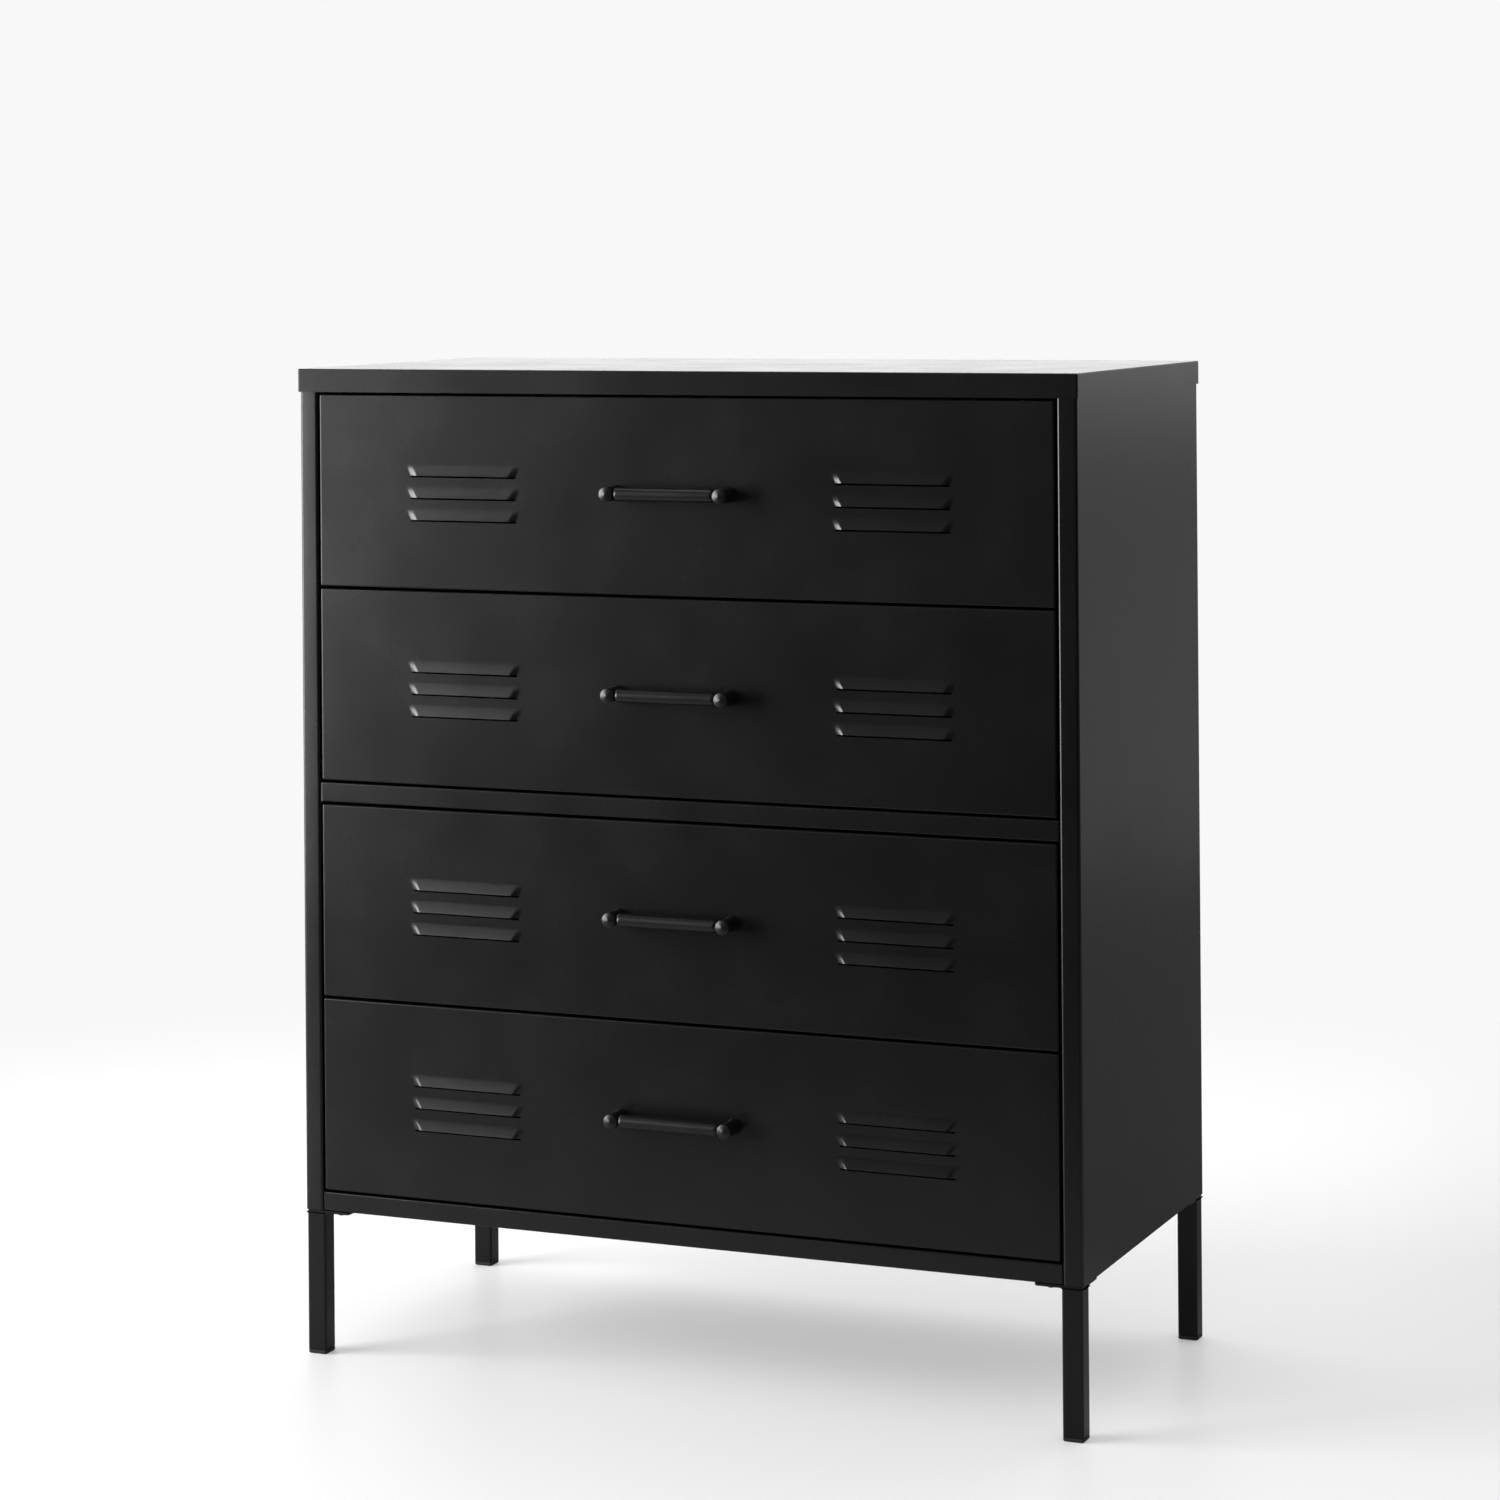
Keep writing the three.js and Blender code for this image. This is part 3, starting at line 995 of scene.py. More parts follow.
@dataclass
class Leg:
    """One corner's leg: square tube, welded plate, plastic foot cap and three bolts.

    Attributes:
        side: left or right.
        end: front or rear.
        body: the body that it belongs to.
        width: of the tube.
        wall: of the tube.
        corner_radius: of the tube.
        plate: thickness of the mounting plate.
    """

    side: Side
    end: End
    body: str = "cabinet"
    width: float = 20 * MM
    wall: float = 1.5 * MM
    corner_radius: float = 2.2 * MM
    plate: float = 2.5 * MM

    @property
    def label(self) -> str:
        """Corner name, as in the node names."""
        return f"{self.end.label}_{self.side.label}"

    def build(self, screws: Fasteners) -> None:
        """Builds the leg, its cap and its bolts.

        Args:
            screws: seats the bolts.
        """
        low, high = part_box(f"{self.label}_leg")
        cap_low, cap_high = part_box(f"{self.label}_foot_cap")
        axis = middle(cap_low, cap_high)
        under = high.z - self.plate
        self.tube_and_plate(low, high, axis, under)
        self.cap(axis, low.z)
        inward = 13 * MM
        x_in = low.x + inward if self.side is Side.RIGHT else high.x - inward
        y_in = low.y + inward if self.end is End.REAR else high.y - inward
        spots = ((x_in, axis.y), (x_in, y_in), (axis.x, y_in))
        seats = [((x, y, under), (0.0, 0.0, -1.0)) for x, y in spots]
        screws.seat(f"{self.label}_leg_bolts", self.body, seats, 4.6 * MM, 2.8 * MM)

    def ring(self, centre: Vector, half: float, radius: float, z: float) -> list[Vector]:
        """A rounded square ring round a centre, at a height."""
        return [Vector((centre.x + x, centre.y + y, z)) for x, y in rounded_square(half, radius)]

    def tube_and_plate(self, low: Vector, high: Vector, axis: Vector, under: float) -> None:
        """Tube with its weld bead under a plate with rounded corners."""
        half = self.width / 2
        bore = half - self.wall
        bead = 1.8 * MM
        bm = bmesh.new()
        inner_radius = self.corner_radius - self.wall + 0.3 * MM
        shape = [
            (bore, inner_radius, under),
            (bore, inner_radius, low.z),
            (half - 0.2 * MM, self.corner_radius, low.z),
            (half, self.corner_radius, low.z + 0.2 * MM),
            (half, self.corner_radius, under - bead),
            (half + bead * 0.35, self.corner_radius + bead * 0.35, under - bead * 0.35),
            (half + bead, self.corner_radius + bead, under),
        ]
        add_loft(bm, [self.ring(axis, *step) for step in shape], False, False)
        plate_half = (high.x - low.x) / 2
        centre = middle(low, high)
        edge = 0.3 * MM
        plate_rings = [
            (plate_half - edge, 3 * MM, under),
            (plate_half, 3 * MM, under + edge),
            (plate_half, 3 * MM, high.z - edge),
            (plate_half - edge, 3 * MM, high.z),
        ]
        add_loft(bm, [self.ring(centre, *step) for step in plate_rings], True, True)
        finish_shell(f"{self.label}_leg_tube", bm, Slot.LEG, self.body, f"{self.label}_leg")

    def cap(self, axis: Vector, tube_end: float) -> None:
        """Plastic cap with a rounded sole and a plug inside the tube."""
        half = self.width / 2
        radius = self.corner_radius
        plug = half - self.wall - 0.3 * MM
        sole = 1.4 * MM
        rings = [
            (half - sole, radius, 0.0),
            (half - sole * 0.3, radius, sole * 0.3),
            (half, radius, sole),
            (half, radius, tube_end - 0.5 * MM),
            (half - 0.4 * MM, radius, tube_end - 0.3 * MM),
            (plug, 1.0 * MM, tube_end - 0.3 * MM),
            (plug, 1.0 * MM, tube_end + 12 * MM),
            (plug - 1 * MM, 1.0 * MM, tube_end + 13 * MM),
        ]
        bm = bmesh.new()
        add_loft(bm, [self.ring(axis, *step) for step in rings], True, True)
        finish_shell(f"{self.label}_foot", bm, Slot.FOOT, self.body, f"{self.label}_foot_cap")


# ------------------------------------------------------------------ drawers


@dataclass
class Louvre:
    """One louvre, pressed outwards over an open slot, with softly rounded creases.

    Attributes:
        top: half the width of its upper edge, where it leaves the sheet.
        base: half the width of the slot in the sheet.
        lip: half the width of its free lower edge.
        height: from the upper edge to the lip.
        gap: open height of the slot, under the lip.
        reach: of the lip in front of the sheet.
        margin: flat sheet that belongs to the patch, round the louvre.
        step: between grid lines, where the patch is curved.
        swell: power of the slope, which gets steeper towards the lip.
        crease: share of the end slopes that is rounded.
    """

    top: float = 62.5 * MM
    base: float = 56.5 * MM
    lip: float = 48.5 * MM
    height: float = 11 * MM
    gap: float = 1.8 * MM
    reach: float = 2.5 * MM
    margin: float = 1.2 * MM
    step: float = 0.6 * MM
    swell: float = 1.4
    crease: float = 0.22

    @property
    def columns(self) -> list[float]:
        """Grid lines across the patch, from its middle: close together near the ends."""
        outer, inner = self.top + self.margin, self.lip - 3 * self.margin
        count = round((outer - inner) / self.step)
        right = [inner + (outer - inner) * i / count for i in range(count + 1)]
        right = [share * inner for share in (0.0, 0.5)] + right
        right[right.index(min(right, key=lambda x: abs(x - self.base)))] = self.base
        return [-x for x in reversed(right[1:])] + right

    @property
    def rows(self) -> list[float]:
        """Grid lines down the patch, from the upper edge's height: the last is below the slot."""
        count = round((self.margin + self.height) / self.step)
        lines = [self.margin - (self.margin + self.height) * i / count for i in range(count + 1)]
        return [*lines, lines[-1] - self.gap]

    def bulge(self, x: float, z: float) -> float:
        """How far the sheet stands out at a place on the patch.

        Args:
            x: across, from the middle.
            z: up, from the upper edge.

        Returns:
            The height over the flat sheet: a slope down the louvre, faded out at both ends.
        """
        down = min(max(-z / self.height, 0.0), 1.0)
        slope = self.reach * down**self.swell
        edge = self.top + (self.base - self.top) * down
        return slope * smooth((edge - abs(x)) / (self.base - self.lip), self.crease)

    def pattern(self, material: bpy.types.Material) -> bpy.types.Object:
        """Models the patch's outer face about the middle of the louvre's upper edge.

        Args:
            material: its finish.

        Returns:
            A helper object, to be removed after use.
        """
        bm = bmesh.new()
        grid = []
        *_, lip_line, foot_line = self.rows
        for z in self.rows:
            rim = z >= self.margin * 0.99 or z == foot_line
            line = []
            for x in self.columns:
                side = abs(x) >= self.columns[-1] - 1e-9
                flat = rim or side or (z == lip_line and abs(x) >= self.base)
                line.append(bm.verts.new((x, 0.0 if flat else -self.bulge(x, z), z)))
            grid.append(line)
        for upper, lower in zip(grid, grid[1:]):
            for i, x in enumerate(self.columns[:-1]):
                beside = max(abs(x), abs(self.columns[i + 1])) > self.base
                if lower is not grid[-1] or beside:
                    bm.faces.new((upper[i], lower[i], lower[i + 1], upper[i + 1]))
        loose = [vert for vert in bm.verts if not vert.link_faces]
        bmesh.ops.delete(bm, geom=loose, context="VERTS")
        bm.normal_update()
        return new_piece("louvre_pattern", bm, material)


@dataclass
class Drawer:
    """One drawer: louvred front, hemmed tray and bar handle.

    Attributes:
        number: 1 is the top drawer.
        louvre: the sizes of one louvre.
        sheet: thickness of the steel.
        side_return: inner flange at each end of the front.
        edge_return: inner flange along the front's long edges.
        tray_lip: flange round the tray's open front.
        hem: height of the tray's folded-over top edge.
        rows: louvres in each bank.
        pitch: between louvres.
        bank_offset: centre of each bank from the middle of the front.
    """

    number: int
    louvre: Louvre
    sheet: float = 1.0 * MM
    side_return: float = 22 * MM
    edge_return: float = 12 * MM
    tray_lip: float = 15 * MM
    hem: float = 10 * MM
    rows: int = 3
    pitch: float = 21.5 * MM
    bank_offset: float = 220.5 * MM

    @property
    def body(self) -> str:
        """The body that the drawer moves as."""
        return f"drawer_{self.number}"

    def build(self, louvres: NodeTree) -> None:
        """Builds the drawer's front, its tray with the hems, and its handle with the screws.

        Args:
            louvres: the tree that welds the louvres into the front.
        """
        self.front(louvres)
        self.tray()
        BarHandle(self.body).build()

    def front_face(self, sheet: FoldedSheet, low: Vector, high: Vector) -> None:
        """Adds the front's flat face, open where the louvre patches go.

        Args:
            sheet: the front's sheet.
            low: lowest corner of the folded front, without its louvres.
            high: highest corner.
        """
        centre = middle(low, high)
        across, down = self.louvre.columns, self.louvre.rows
        banks = [centre.x - self.bank_offset, centre.x + self.bank_offset]
        tops = [self.louvre_top(low, high) - row * self.pitch for row in range(self.rows)]

        def across_at(z: float, columns: Sequence[float]) -> list[Point]:
            """Points of both banks at one height, left to right."""
            return [(x0 + x, low.y, z) for x0 in banks for x in columns]

        edges = [high.z, *[z for top in tops for z in (top + down[0], top + down[-1])], low.z]
        for i, (z1, z0) in enumerate(zip(edges, edges[1:])):
            if i % 2 == 0:
                top_line = across_at(z1, across) if i else []
                bottom_line = across_at(z0, across) if i < len(edges) - 2 else []
                ring = [(low.x, low.y, z0), *bottom_line, (high.x, low.y, z0)]
                ring += [(high.x, low.y, z1), *reversed(top_line), (low.x, low.y, z1)]
                sheet.flat((0, -1, 0), *ring)
                continue
            top = z1 - down[0]
            rows = [top + z for z in down]
            walls = [low.x, *[x0 + x for x0 in banks for x in (across[0], across[-1])], high.x]
            for j in (0, 2, 4):
                left, right = walls[j], walls[j + 1]
                left_rows = rows if j else (z1, z0)
                right_rows = rows if j < 4 else (z1, z0)
                ring = [(left, low.y, z) for z in left_rows]
                ring += [(right, low.y, z) for z in reversed(right_rows)]
                sheet.flat((0, -1, 0), *ring)
        levels = list(reversed(edges))
        for x, outward in ((low.x, -1.0), (high.x, 1.0)):
            edge = [(x, low.y, z) for z in levels]
            sheet.flat((outward, 0, 0), *edge, (x, high.y, high.z), (x, high.y, low.z))

    def louvre_top(self, low: Vector, high: Vector) -> float:
        """Height of the uppermost louvre's upper edge."""
        return middle(low, high).z + ((self.rows - 1) * self.pitch + self.louvre.height) / 2

    def front(self, louvres: NodeTree) -> None:
        """Folded front with two banks of louvres.

        Args:
            louvres: the tree that welds them in.
        """
        low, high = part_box(f"{self.body}_front")
        low = Vector((low.x, low.y + self.louvre.reach, low.z))
        sheet = FoldedSheet(f"{self.body}_louvred_front", self.sheet, 1.6 * MM, crease_share=0.55)
        self.front_face(sheet, low, high)
        for sign, z in ((-1, low.z), (1, high.z)):
            sheet.wall(2, sign, z, (low.x, high.x), (low.y, high.y))
        wx0, wx1 = low.x + self.side_return, high.x - self.side_return
        wz0, wz1 = low.z + self.edge_return, high.z - self.edge_return
        outer = [(low.x, low.z), (high.x, low.z), (high.x, high.z), (low.x, high.z)]
        inner = [(wx0, wz0), (wx1, wz0), (wx1, wz1), (wx0, wz1)]
        for j in range(4):
            k = (j + 1) % 4
            ring = [outer[j], outer[k], inner[k], inner[j]]
            sheet.flat((0, 1, 0), *[(x, high.y, z) for x, z in ring])
        piece = new_piece(sheet.name, sheet.surface_mesh(), Slot.CABINET.material)
        pattern = self.louvre.pattern(Slot.CABINET.material)
        first = Vector((middle(low, high).x - self.bank_offset, low.y, self.louvre_top(low, high)))
        louvres.run(
            piece,
            Louvre=pattern,
            Count=self.rows,
            Pitch=(0.0, 0.0, -self.pitch),
            First=first,
            Row_Gap=(2 * self.bank_offset, 0.0, 0.0),
            Material=Slot.CABINET.material,
        )
        bpy.data.objects.remove(pattern)
        sheet.thicken(piece)
        mount(piece, self.body, Slot.CABINET.slot, f"{self.body}_front")

    def tray(self) -> None:
        """Steel tray with three hemmed walls and a lip round its open front."""
        low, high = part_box(f"{self.body}_tray")
        low = Vector((low.x + self.sheet, low.y, low.z))
        high = Vector((high.x - self.sheet, high.y - self.sheet, high.z))
        tray = FoldedSheet(f"{self.body}_steel_tray", self.sheet, 1.6 * MM)
        y = low.y
        x0, x1, z0 = low.x + self.tray_lip, high.x - self.tray_lip, low.z + self.tray_lip
        across, deep, tall = (low.x, high.x), (y, high.y), (low.z, high.z)
        tray.wall(2, -1, low.z, across, deep)
        tray.wall(1, 1, high.y, across, tall)
        for sign, x, lip in ((-1, low.x, x0), (1, high.x, x1)):
            tray.wall(0, sign, x, deep, tall)
            tray.flat((0, -1, 0), (x, y, low.z), (lip, y, z0), (lip, y, high.z), (x, y, high.z))
        tray.flat((0, -1, 0), (low.x, y, low.z), (high.x, y, low.z), (x1, y, z0), (x0, y, z0))
        piece = tray.piece(Slot.TRAY)
        mount(piece, self.body, Slot.TRAY.slot, f"{self.body}_tray")
        self.hems(low, high)

    def hems(self, low: Vector, high: Vector) -> None:
        """Rolled hems along the tray's three walls, proud of them by one sheet."""
        bm = bmesh.new()
        radius = self.sheet
        section = [(0.0, -self.hem), (-radius, -self.hem)]
        section += [(-radius * math.sin(a), radius * 0.6 * math.cos(a)) for a in (1.57, 0.9, 0.3)]
        section += [(radius * math.sin(a), radius * 0.6 * math.cos(a)) for a in (0.3, 0.9, 1.57)]
        start = low.y + 2 * MM
        corners = [(low.x, start), (low.x, high.y), (high.x, high.y), (high.x, start)]
        normals = [(-1, 0), (-1, 1), (1, 1), (1, 0)]
        drop = high.z - 0.6 * MM
        rings = [
            [Vector((x - nx * inwards, y - ny * inwards, drop + z)) for inwards, z in section]
            for (x, y), (nx, ny) in zip(corners, normals)
        ]
        add_loft(bm, rings, True, True)
        finish_shell(f"{self.body}_tray_hem", bm, Slot.TRAY, self.body)


@dataclass
class BarHandle:
    """A drawer's handle: a turned bar between two round-nosed posts, and its two screws.

    Attributes:
        body: the drawer that it moves with.
        bar_radius: of the bar.
        neck_radius: of the bar's thinner ends.
        bar_depth: from the foremost point back to the bar's axis.
        shoulder: from a post's axis to where the bar has its full radius.
        waist: from a post's axis to where its neck begins to widen.
        foot_flare: how much wider a post is where it stands on the front.
        nose: height of the low cone on each post.
        rim: rounding of the edge round that cone.
        crown: how much the cone bulges.
        facets: round the bar and the posts.
        shank: radius of the screws' threads.
        turns: of the thread on each screw.
    """

    body: str
    bar_radius: float = 6.5 * MM
    neck_radius: float = 4.3 * MM
    bar_depth: float = 8 * MM
    shoulder: float = 10.5 * MM
    waist: float = 6.5 * MM
    foot_flare: float = 0.6 * MM
    nose: float = 2.2 * MM
    rim: float = 0.7 * MM
    crown: float = 0.18
    facets: int = 40
    shank: float = 2 * MM
    turns: int = 9

    def bar_profile(self, post_x: float) -> list[tuple[float, float]]:
        """Radius and place along the bar, from one post's axis to the other's."""
        shoulder, waist = post_x - self.shoulder, post_x - self.waist
        right = [(self.neck_radius, post_x), (self.neck_radius, waist)]
        steps = 5
        for i in range(steps + 1):
            share = i / steps
            swell = math.sin(share * math.pi / 2)
            radius = self.neck_radius + (self.bar_radius - self.neck_radius) * swell
            right.append((radius, waist + (shoulder - waist) * share))
        return right + [(radius, -reach) for radius, reach in reversed(right)]

    def post_profile(self, radius: float, length: float) -> list[tuple[float, float]]:
        """Radius and height up a post: flared foot, rounded rim and low cone."""
        flared = radius + self.foot_flare
        post = [(flared, 0.0), (flared, 0.8 * MM), (radius, 1.6 * MM)]
        for x, y in arc(self.rim, 0.0, 72.0, 4):
            post.append((radius - self.rim + x, length - self.nose + y))
        start_radius, start_height = post[-1]
        for i in range(1, 9):
            share = i / 8
            rise = share * (1 - self.crown * share) / (1 - self.crown)
            height = start_height + (length - start_height) * rise
            post.append((max(start_radius * (1 - share), 0.15 * MM), height))
        return post

    def screw_profile(self, head: float, length: float) -> list[tuple[float, float]]:
        """Radius and height of a screw, from its pan head to its tip."""
        profile = [(head * 0.35, 0.0), (head * 0.4, -0.4 * MM), (head * 0.8, -0.2 * MM)]
        profile += [(head * 0.97, 0.6 * MM), (head, 1.4 * MM), (head, 2.3 * MM)]
        profile.append((self.shank, 2.4 * MM))
        for i in range(self.turns * 2):
            depth = 2.8 * MM + (length - 3.2 * MM) * i / (self.turns * 2 - 1)
            profile.append((self.shank if i % 2 else self.shank * 0.84, depth))
        return [*profile, (self.shank * 0.7, length)]

    def build(self) -> None:
        """Builds the handle, then its two screws behind the front sheet."""
        low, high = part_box(f"{self.body}_handle")
        centre = middle(low, high)
        post_radius = (high.z - low.z) / 2
        post_x = (high.x - low.x) / 2 - post_radius
        forwards = Matrix.Rotation(math.pi / 2, 4, "X")
        bm = bmesh.new()
        bar_place = Matrix.Translation((centre.x, low.y + self.bar_depth, centre.z))
        along_x = bar_place @ Matrix.Rotation(math.pi / 2, 4, "Y")
        add_turned(bm, self.bar_profile(post_x), along_x, self.facets)
        post = self.post_profile(post_radius, high.y - low.y)
        for side in Side:
            base = Matrix.Translation((centre.x + side.value * post_x, high.y, centre.z))
            add_turned(bm, post, base @ forwards, self.facets)
        name = f"{self.body}_bar_handle"
        node = f"{self.body}_handle"
        finish_shell(name, bm, Slot.HANDLE, self.body, node, sharp_degrees=50.0)
        for side in Side:
            node = f"{self.body}_handle_screw_{side.label}"
            low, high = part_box(node)
            centre = middle(low, high)
            profile = self.screw_profile((high.x - low.x) / 2, high.y - low.y)
            bm = bmesh.new()
            base = Matrix.Translation((centre.x, high.y, centre.z))
            add_turned(bm, profile, base @ forwards, 20)
            finish_shell(f"{node}_m4", bm, Slot.SCREW, self.body, node, sharp_degrees=35.0)


@dataclass
class Runner:
    """One ball runner: outer member, ball cage with its balls, and inner member.

    Attributes:
        number: the drawer's number.
        side: left or right.
        steel: thickness of the two members.
        cage_steel: thickness of the cage.
        ball_radius: of the steel balls.
        ball_pitch: between balls.
    """

    number: int
    side: Side
    steel: float = 1.2 * MM
    cage_steel: float = 0.8 * MM
    ball_radius: float = 2.3 * MM
    ball_pitch: float = 9.5 * MM

    def build(self, balls: NodeTree, screws: Fasteners) -> None:
        """Builds the three members, the balls and the screws.

        Args:
            balls: the tree that lays the balls.
            screws: seats the screws.
        """
        drawer = f"drawer_{self.number}"
        outward = self.side.value
        self.member("outer", "cabinet", Slot.RUNNER, self.steel, web_side=outward)
        self.member("cage", f"{drawer}_ball_cages", Slot.CAGE, self.cage_steel, web_side=outward)
        self.member("inner", drawer, Slot.RUNNER, self.steel, web_side=-outward)
        self.lay_balls(balls, f"{drawer}_ball_cages")
        self.fasten(screws, drawer)

    def node(self, member: str) -> str:
        """Name of a member's CAD node."""
        return f"drawer_{self.number}_runner_{member}_{self.side.label}"

    def member(self, name: str, body: str, slot: Slot, steel: float, web_side: int) -> None:
        """Rolled channel, its web on one side.

        Args:
            name: outer, cage or inner.
            body: the body that it rides on.
            slot: its finish.
            steel: its thickness.
            web_side: -1 if the web is on the left, 1 on the right.
        """
        low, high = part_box(self.node(name))
        web, tip = (low.x, high.x) if web_side < 0 else (high.x, low.x)
        outline = [
            (tip, low.y, low.z),
            (web, low.y, low.z),
            (web, low.y, high.z),
            (tip, low.y, high.z),
        ]
        channel = FoldedSheet(f"{self.node(name)}_channel", steel, fold_radius=steel * 1.6)
        inside = Vector((tip, low.y, middle(low, high).z))
        channel.strip(outline, Vector((0, high.y - low.y, 0)), inside)
        mount(channel.piece(slot), body, slot.slot, self.node(name))

    def lay_balls(self, balls: NodeTree, body: str) -> None:
        """Lays the balls in their two rows, in the cage's arms."""
        low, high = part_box(self.node("cage"))
        _, outer_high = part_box(self.node("outer"))
        _, inner_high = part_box(self.node("inner"))
        centre = middle(low, high)
        raceway = (outer_high.z - self.steel + inner_high.z) / 2
        drop = raceway - centre.z
        count = int((high.y - low.y - 8 * MM) / self.ball_pitch) + 1
        margin = (high.y - low.y - (count - 1) * self.ball_pitch) / 2
        bm = bmesh.new()
        piece = new_piece(f"{self.node('cage')}_balls", bm, Slot.SCREW.material)
        balls.run(
            piece,
            Ball_Radius=self.ball_radius,
            Count=count,
            Pitch=(0.0, self.ball_pitch, 0.0),
            First=(centre.x, low.y + margin, centre.z - drop),
            Row_Gap=(0.0, 0.0, 2 * drop),
            Material=Slot.SCREW.material,
        )
        piece.data.polygons.foreach_set("use_smooth", [True] * len(piece.data.polygons))
        mount(piece, body, Slot.SCREW.slot)

    def fasten(self, screws: Fasteners, drawer: str) -> None:
        """Screws the outer member to the posts and the inner member to the tray."""
        low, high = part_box(self.node("outer"))
        web = high.x - self.steel if self.side is Side.RIGHT else low.x + self.steel
        z = middle(low, high).z
        inwards = (-float(self.side.value), 0.0, 0.0)
        ends = (low.y + 9 * MM, high.y - 6 * MM)
        seats = [((web, y, z), inwards) for y in ends]
        screws.seat(f"{self.node('outer')}_screws", "cabinet", seats, 3.4 * MM, 1.0 * MM)
        low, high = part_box(self.node("inner"))
        web = low.x + self.steel if self.side is Side.RIGHT else high.x - self.steel
        outwards = (float(self.side.value), 0.0, 0.0)
        places = (low.y + 20 * MM, middle(low, high).y, high.y - 20 * MM)
        seats = [((web, y, z), outwards) for y in places]
        screws.seat(f"{self.node('inner')}_screws", drawer, seats, 3.4 * MM, 1.6 * MM)


# ------------------------------------------------------------------ studio


@dataclass
class Softbox:
    """A soft rectangular light, aimed at a point.

    Attributes:
        name: the light's name.
        place: its centre.
        aim: the point that it faces.
        width: of the rectangle.
        height: of the rectangle.
        radiance: brightness of its surface, where 1 is white.
        lights_floor: whether matt faces are lit by it, and not only glossy ones.
    """

    name: str
    place: Point
    aim: Point
    width: float
    height: float
    radiance: float
    lights_floor: bool = True

    def build(self) -> None:
        """Makes the light, unseen by the camera itself."""
        lamp = bpy.data.lights.new(self.name, "AREA")
        lamp.shape = "RECTANGLE"
        lamp.size, lamp.size_y = self.width, self.height
        lamp.energy = self.radiance * math.pi * self.width * self.height
        light = bpy.data.objects.new(self.name, lamp)
        bpy.context.scene.collection.objects.link(light)
        light.location = self.place
        light.rotation_mode = "QUATERNION"
        light.rotation_quaternion = (Vector(self.aim) - Vector(self.place)).to_track_quat("-Z", "Y")
        light.visible_camera = False
        light.visible_diffuse = self.lights_floor


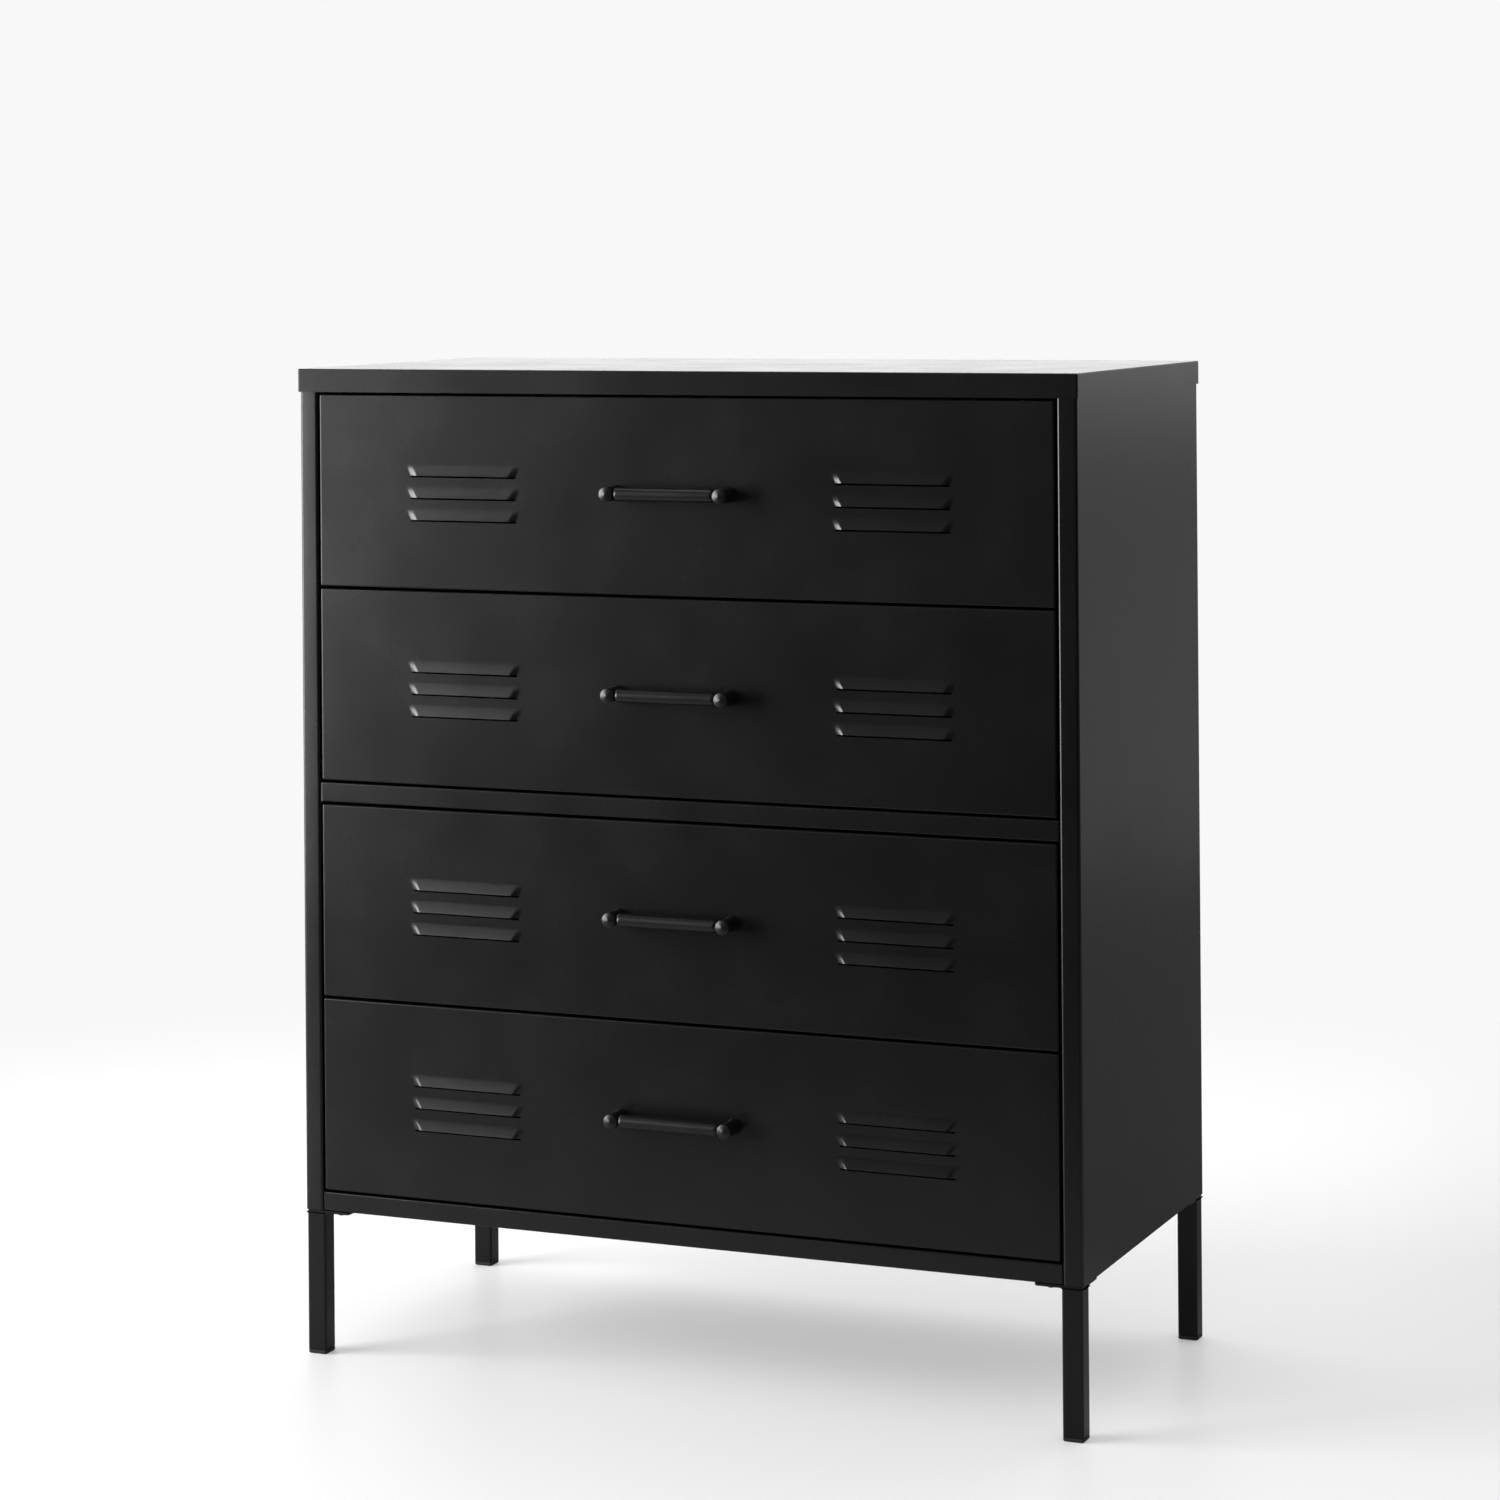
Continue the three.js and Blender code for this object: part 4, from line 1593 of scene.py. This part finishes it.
@dataclass
class Studio:
    """Camera, pale floor, backdrop and soft lights.

    Attributes:
        camera_place: the camera, in metres.
        yaw: turn to the left from the chest's depth axis, in degrees.
        roll: about the level line of sight, in degrees.
        lens: in millimetres on a 36 mm sensor.
        shift: of the lens, as shares of the frame.
        pale: colour of the backdrop.
        floor_radius: of the round floor.
        floor_colour: of the floor.
        ambient: soft light from all round on matt faces.
        dark_walls: what glossy faces see round them where there is no light.
        ceiling: what glossy faces see above them.
        floor_loss: share of the floor's light that glossy faces don't mirror, at the chest.
        rear_loss: the same share behind the chest.
        floor_glow: share of the backdrop's light in the floor, which softens its shadows.
        horizon: heights between which the mirrored walls turn into the ceiling.
        fade_range: distances over which the floor runs into the backdrop.
        front_range: depths over which the floor's mirrored light is lost in front.
        rear_range: depths over which it is lost behind.
    """

    camera_place: Point = (1.5139, -3.7307, 1.0886)
    yaw: float = 24.126
    roll: float = -0.437
    lens: float = 97.84
    shift: tuple[float, float] = (0.1006, -0.3360)
    pale: str = "#f8f8f8"
    floor_radius: float = 12.0
    floor_colour: str = "#e6e6e6"
    ambient: float = 0.72
    dark_walls: float = 0.03
    ceiling: float = 0.26
    floor_loss: float = 0.58
    rear_loss: float = 0.84
    floor_glow: float = 0.28
    horizon: tuple[float, float] = (0.3, 0.75)
    fade_range: tuple[float, float] = (0.8, 2.0)
    front_range: tuple[float, float] = (-0.3, -2.0)
    rear_range: tuple[float, float] = (-0.1, 0.6)

    def build(self) -> None:
        """Makes the camera, the stage and the lights."""
        bpy.context.scene.view_settings.view_transform = "Standard"
        self.camera()
        self.world()
        self.floor()
        for light in (
            Softbox("window_left_front", (-2.75, -1.85, 1.18), (-0.1, -0.2, 0.7), 2.1, 2.3, 12.5),
            Softbox("wall_right_rear", (1.6, 2.7, 1.3), (0.4, 0.0, 0.7), 3.4, 2.9, 0.18),
            Softbox("high_right_rear", (1.5, 2.6, 1.86), (0.4, 0.0, 0.7), 3.2, 2.28, 0.42),
            Softbox(
                "backdrop_left_rear",
                (-1.75, 3.3, 0.95),
                (-0.2, 0.2, 0.95),
                3.4,
                1.9,
                2.2,
                lights_floor=False,
            ),
            Softbox("overhead", (-0.5, 1.0, 3.1), (0.0, 0.0, 0.0), 2.4, 2.4, 1.8),
        ):
            light.build()

    def camera(self) -> None:
        """Makes the camera at the viewing angle."""
        lens = bpy.data.cameras.new("view")
        lens.lens = self.lens
        lens.sensor_width = 36.0
        lens.shift_x, lens.shift_y = self.shift
        viewer = bpy.data.objects.new("view", lens)
        bpy.context.scene.collection.objects.link(viewer)
        viewer.location = self.camera_place
        yaw = math.radians(self.yaw)
        level = Vector((-math.sin(yaw), math.cos(yaw), 0.0)).to_track_quat("-Z", "Y")
        viewer.rotation_mode = "QUATERNION"
        viewer.rotation_quaternion = level @ Quaternion((0.0, 0.0, 1.0), math.radians(self.roll))
        bpy.context.scene.camera = viewer

    def world(self) -> None:
        """Pale surroundings for the eye, soft light on matt faces, a dark room in reflections."""
        world = bpy.data.worlds.new("pale_room")
        bpy.context.scene.world = world
        world.use_nodes = True
        tree = world.node_tree
        tree.nodes.clear()
        path = add_node(tree, "ShaderNodeLightPath").outputs
        upward = add_node(tree, "ShaderNodeTexCoord").outputs["Generated"]
        height = add_node(tree, "ShaderNodeSeparateXYZ", {"Vector": upward}).outputs["Z"]
        rise = {
            "Value": height,
            "From Min": self.horizon[0],
            "From Max": self.horizon[1],
            "To Min": self.dark_walls,
            "To Max": self.ceiling,
        }
        room = add_node(tree, "ShaderNodeMapRange", rise, interpolation_type="SMOOTHSTEP")
        white = (1.0, 1.0, 1.0, 1.0)
        seen = add_node(tree, "ShaderNodeBackground", {"Color": linear(self.pale), "Strength": 1.0})
        soft = add_node(tree, "ShaderNodeBackground", {"Color": white, "Strength": self.ambient})
        sheen = {"Color": white, "Strength": room.outputs["Result"]}
        mirrored = add_node(tree, "ShaderNodeBackground", sheen)
        lit = add_node(
            tree,
            "ShaderNodeMixShader",
            {0: path["Is Glossy Ray"], 1: soft.outputs[0], 2: mirrored.outputs[0]},
        )
        both = add_node(
            tree,
            "ShaderNodeMixShader",
            {0: path["Is Camera Ray"], 1: lit.outputs[0], 2: seen.outputs[0]},
        )
        add_node(tree, "ShaderNodeOutputWorld", {"Surface": both.outputs[0]})

    def floor(self) -> None:
        """Round pale floor: it runs into the backdrop for the eye, and into the dark otherwise."""
        bm = bmesh.new()
        bmesh.ops.create_circle(bm, cap_ends=True, radius=self.floor_radius, segments=96)
        material = bpy.data.materials.new("pale_floor")
        material.use_nodes = True
        tree = material.node_tree
        tree.nodes.clear()
        place = add_node(tree, "ShaderNodeTexCoord").outputs["Object"]
        distance = add_node(tree, "ShaderNodeVectorMath", {0: place}, operation="LENGTH")
        ahead = add_node(tree, "ShaderNodeSeparateXYZ", {"Vector": place}).outputs["Y"]
        fade, *losses = [
            add_node(
                tree,
                "ShaderNodeMapRange",
                {
                    "Value": value,
                    "From Min": start,
                    "From Max": stop,
                    "To Min": least,
                    "To Max": most,
                },
                interpolation_type="SMOOTHSTEP",
            ).outputs["Result"]
            for value, (start, stop), least, most in (
                (distance.outputs["Value"], self.fade_range, self.floor_glow, 1.0),
                (ahead, self.front_range, self.floor_loss, 1.0),
                (ahead, self.rear_range, self.floor_loss, self.rear_loss),
            )
        ]
        dimming = add_node(tree, "ShaderNodeMath", dict(enumerate(losses)), operation="MAXIMUM")
        matt = add_node(
            tree,
            "ShaderNodeBsdfPrincipled",
            {"Base Color": linear(self.floor_colour), "Roughness": 0.4, "Specular IOR Level": 0.04},
        )
        glow = add_node(tree, "ShaderNodeEmission", {"Color": linear(self.pale), "Strength": 1.0})
        dark = add_node(tree, "ShaderNodeBsdfDiffuse", {"Color": linear("#000000")})
        path = add_node(tree, "ShaderNodeLightPath").outputs
        share = add_node(
            tree,
            "ShaderNodeMath",
            {0: path["Is Glossy Ray"], 1: dimming.outputs["Value"]},
            operation="MULTIPLY",
        ).outputs["Value"]
        seen, other = [
            add_node(tree, "ShaderNodeMixShader", {0: part, 1: matt.outputs[0], 2: end.outputs[0]})
            for part, end in ((fade, glow), (share, dark))
        ]
        mixed = add_node(
            tree,
            "ShaderNodeMixShader",
            {0: path["Is Camera Ray"], 1: other.outputs[0], 2: seen.outputs[0]},
        )
        add_node(tree, "ShaderNodeOutputMaterial", {"Surface": mixed.outputs[0]})
        floor = new_piece("studio_floor", bm, material)


# ------------------------------------------------------------------ the whole chest


def main() -> None:
    """Builds the chest in order, then the studio."""
    logging.basicConfig(level=logging.INFO, format="%(name)s %(message)s")
    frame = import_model()
    LOG.info("frame has %d nodes", len(frame["nodes"]))
    Studio().build()
    screws = Fasteners()
    balls = ball_tree()
    louvres = louvre_tree()
    Cabinet().build(screws)
    for side in Side:
        for end in End:
            Leg(side, end).build(screws)
    numbers = sorted(int(body.split("_")[1]) for body in frame["bodies"] if body.count("_") == 1)
    for number in numbers:
        Drawer(number, Louvre()).build(louvres)
        for side in Side:
            Runner(number, side).build(balls, screws)


if __name__ == "__main__":
    main()
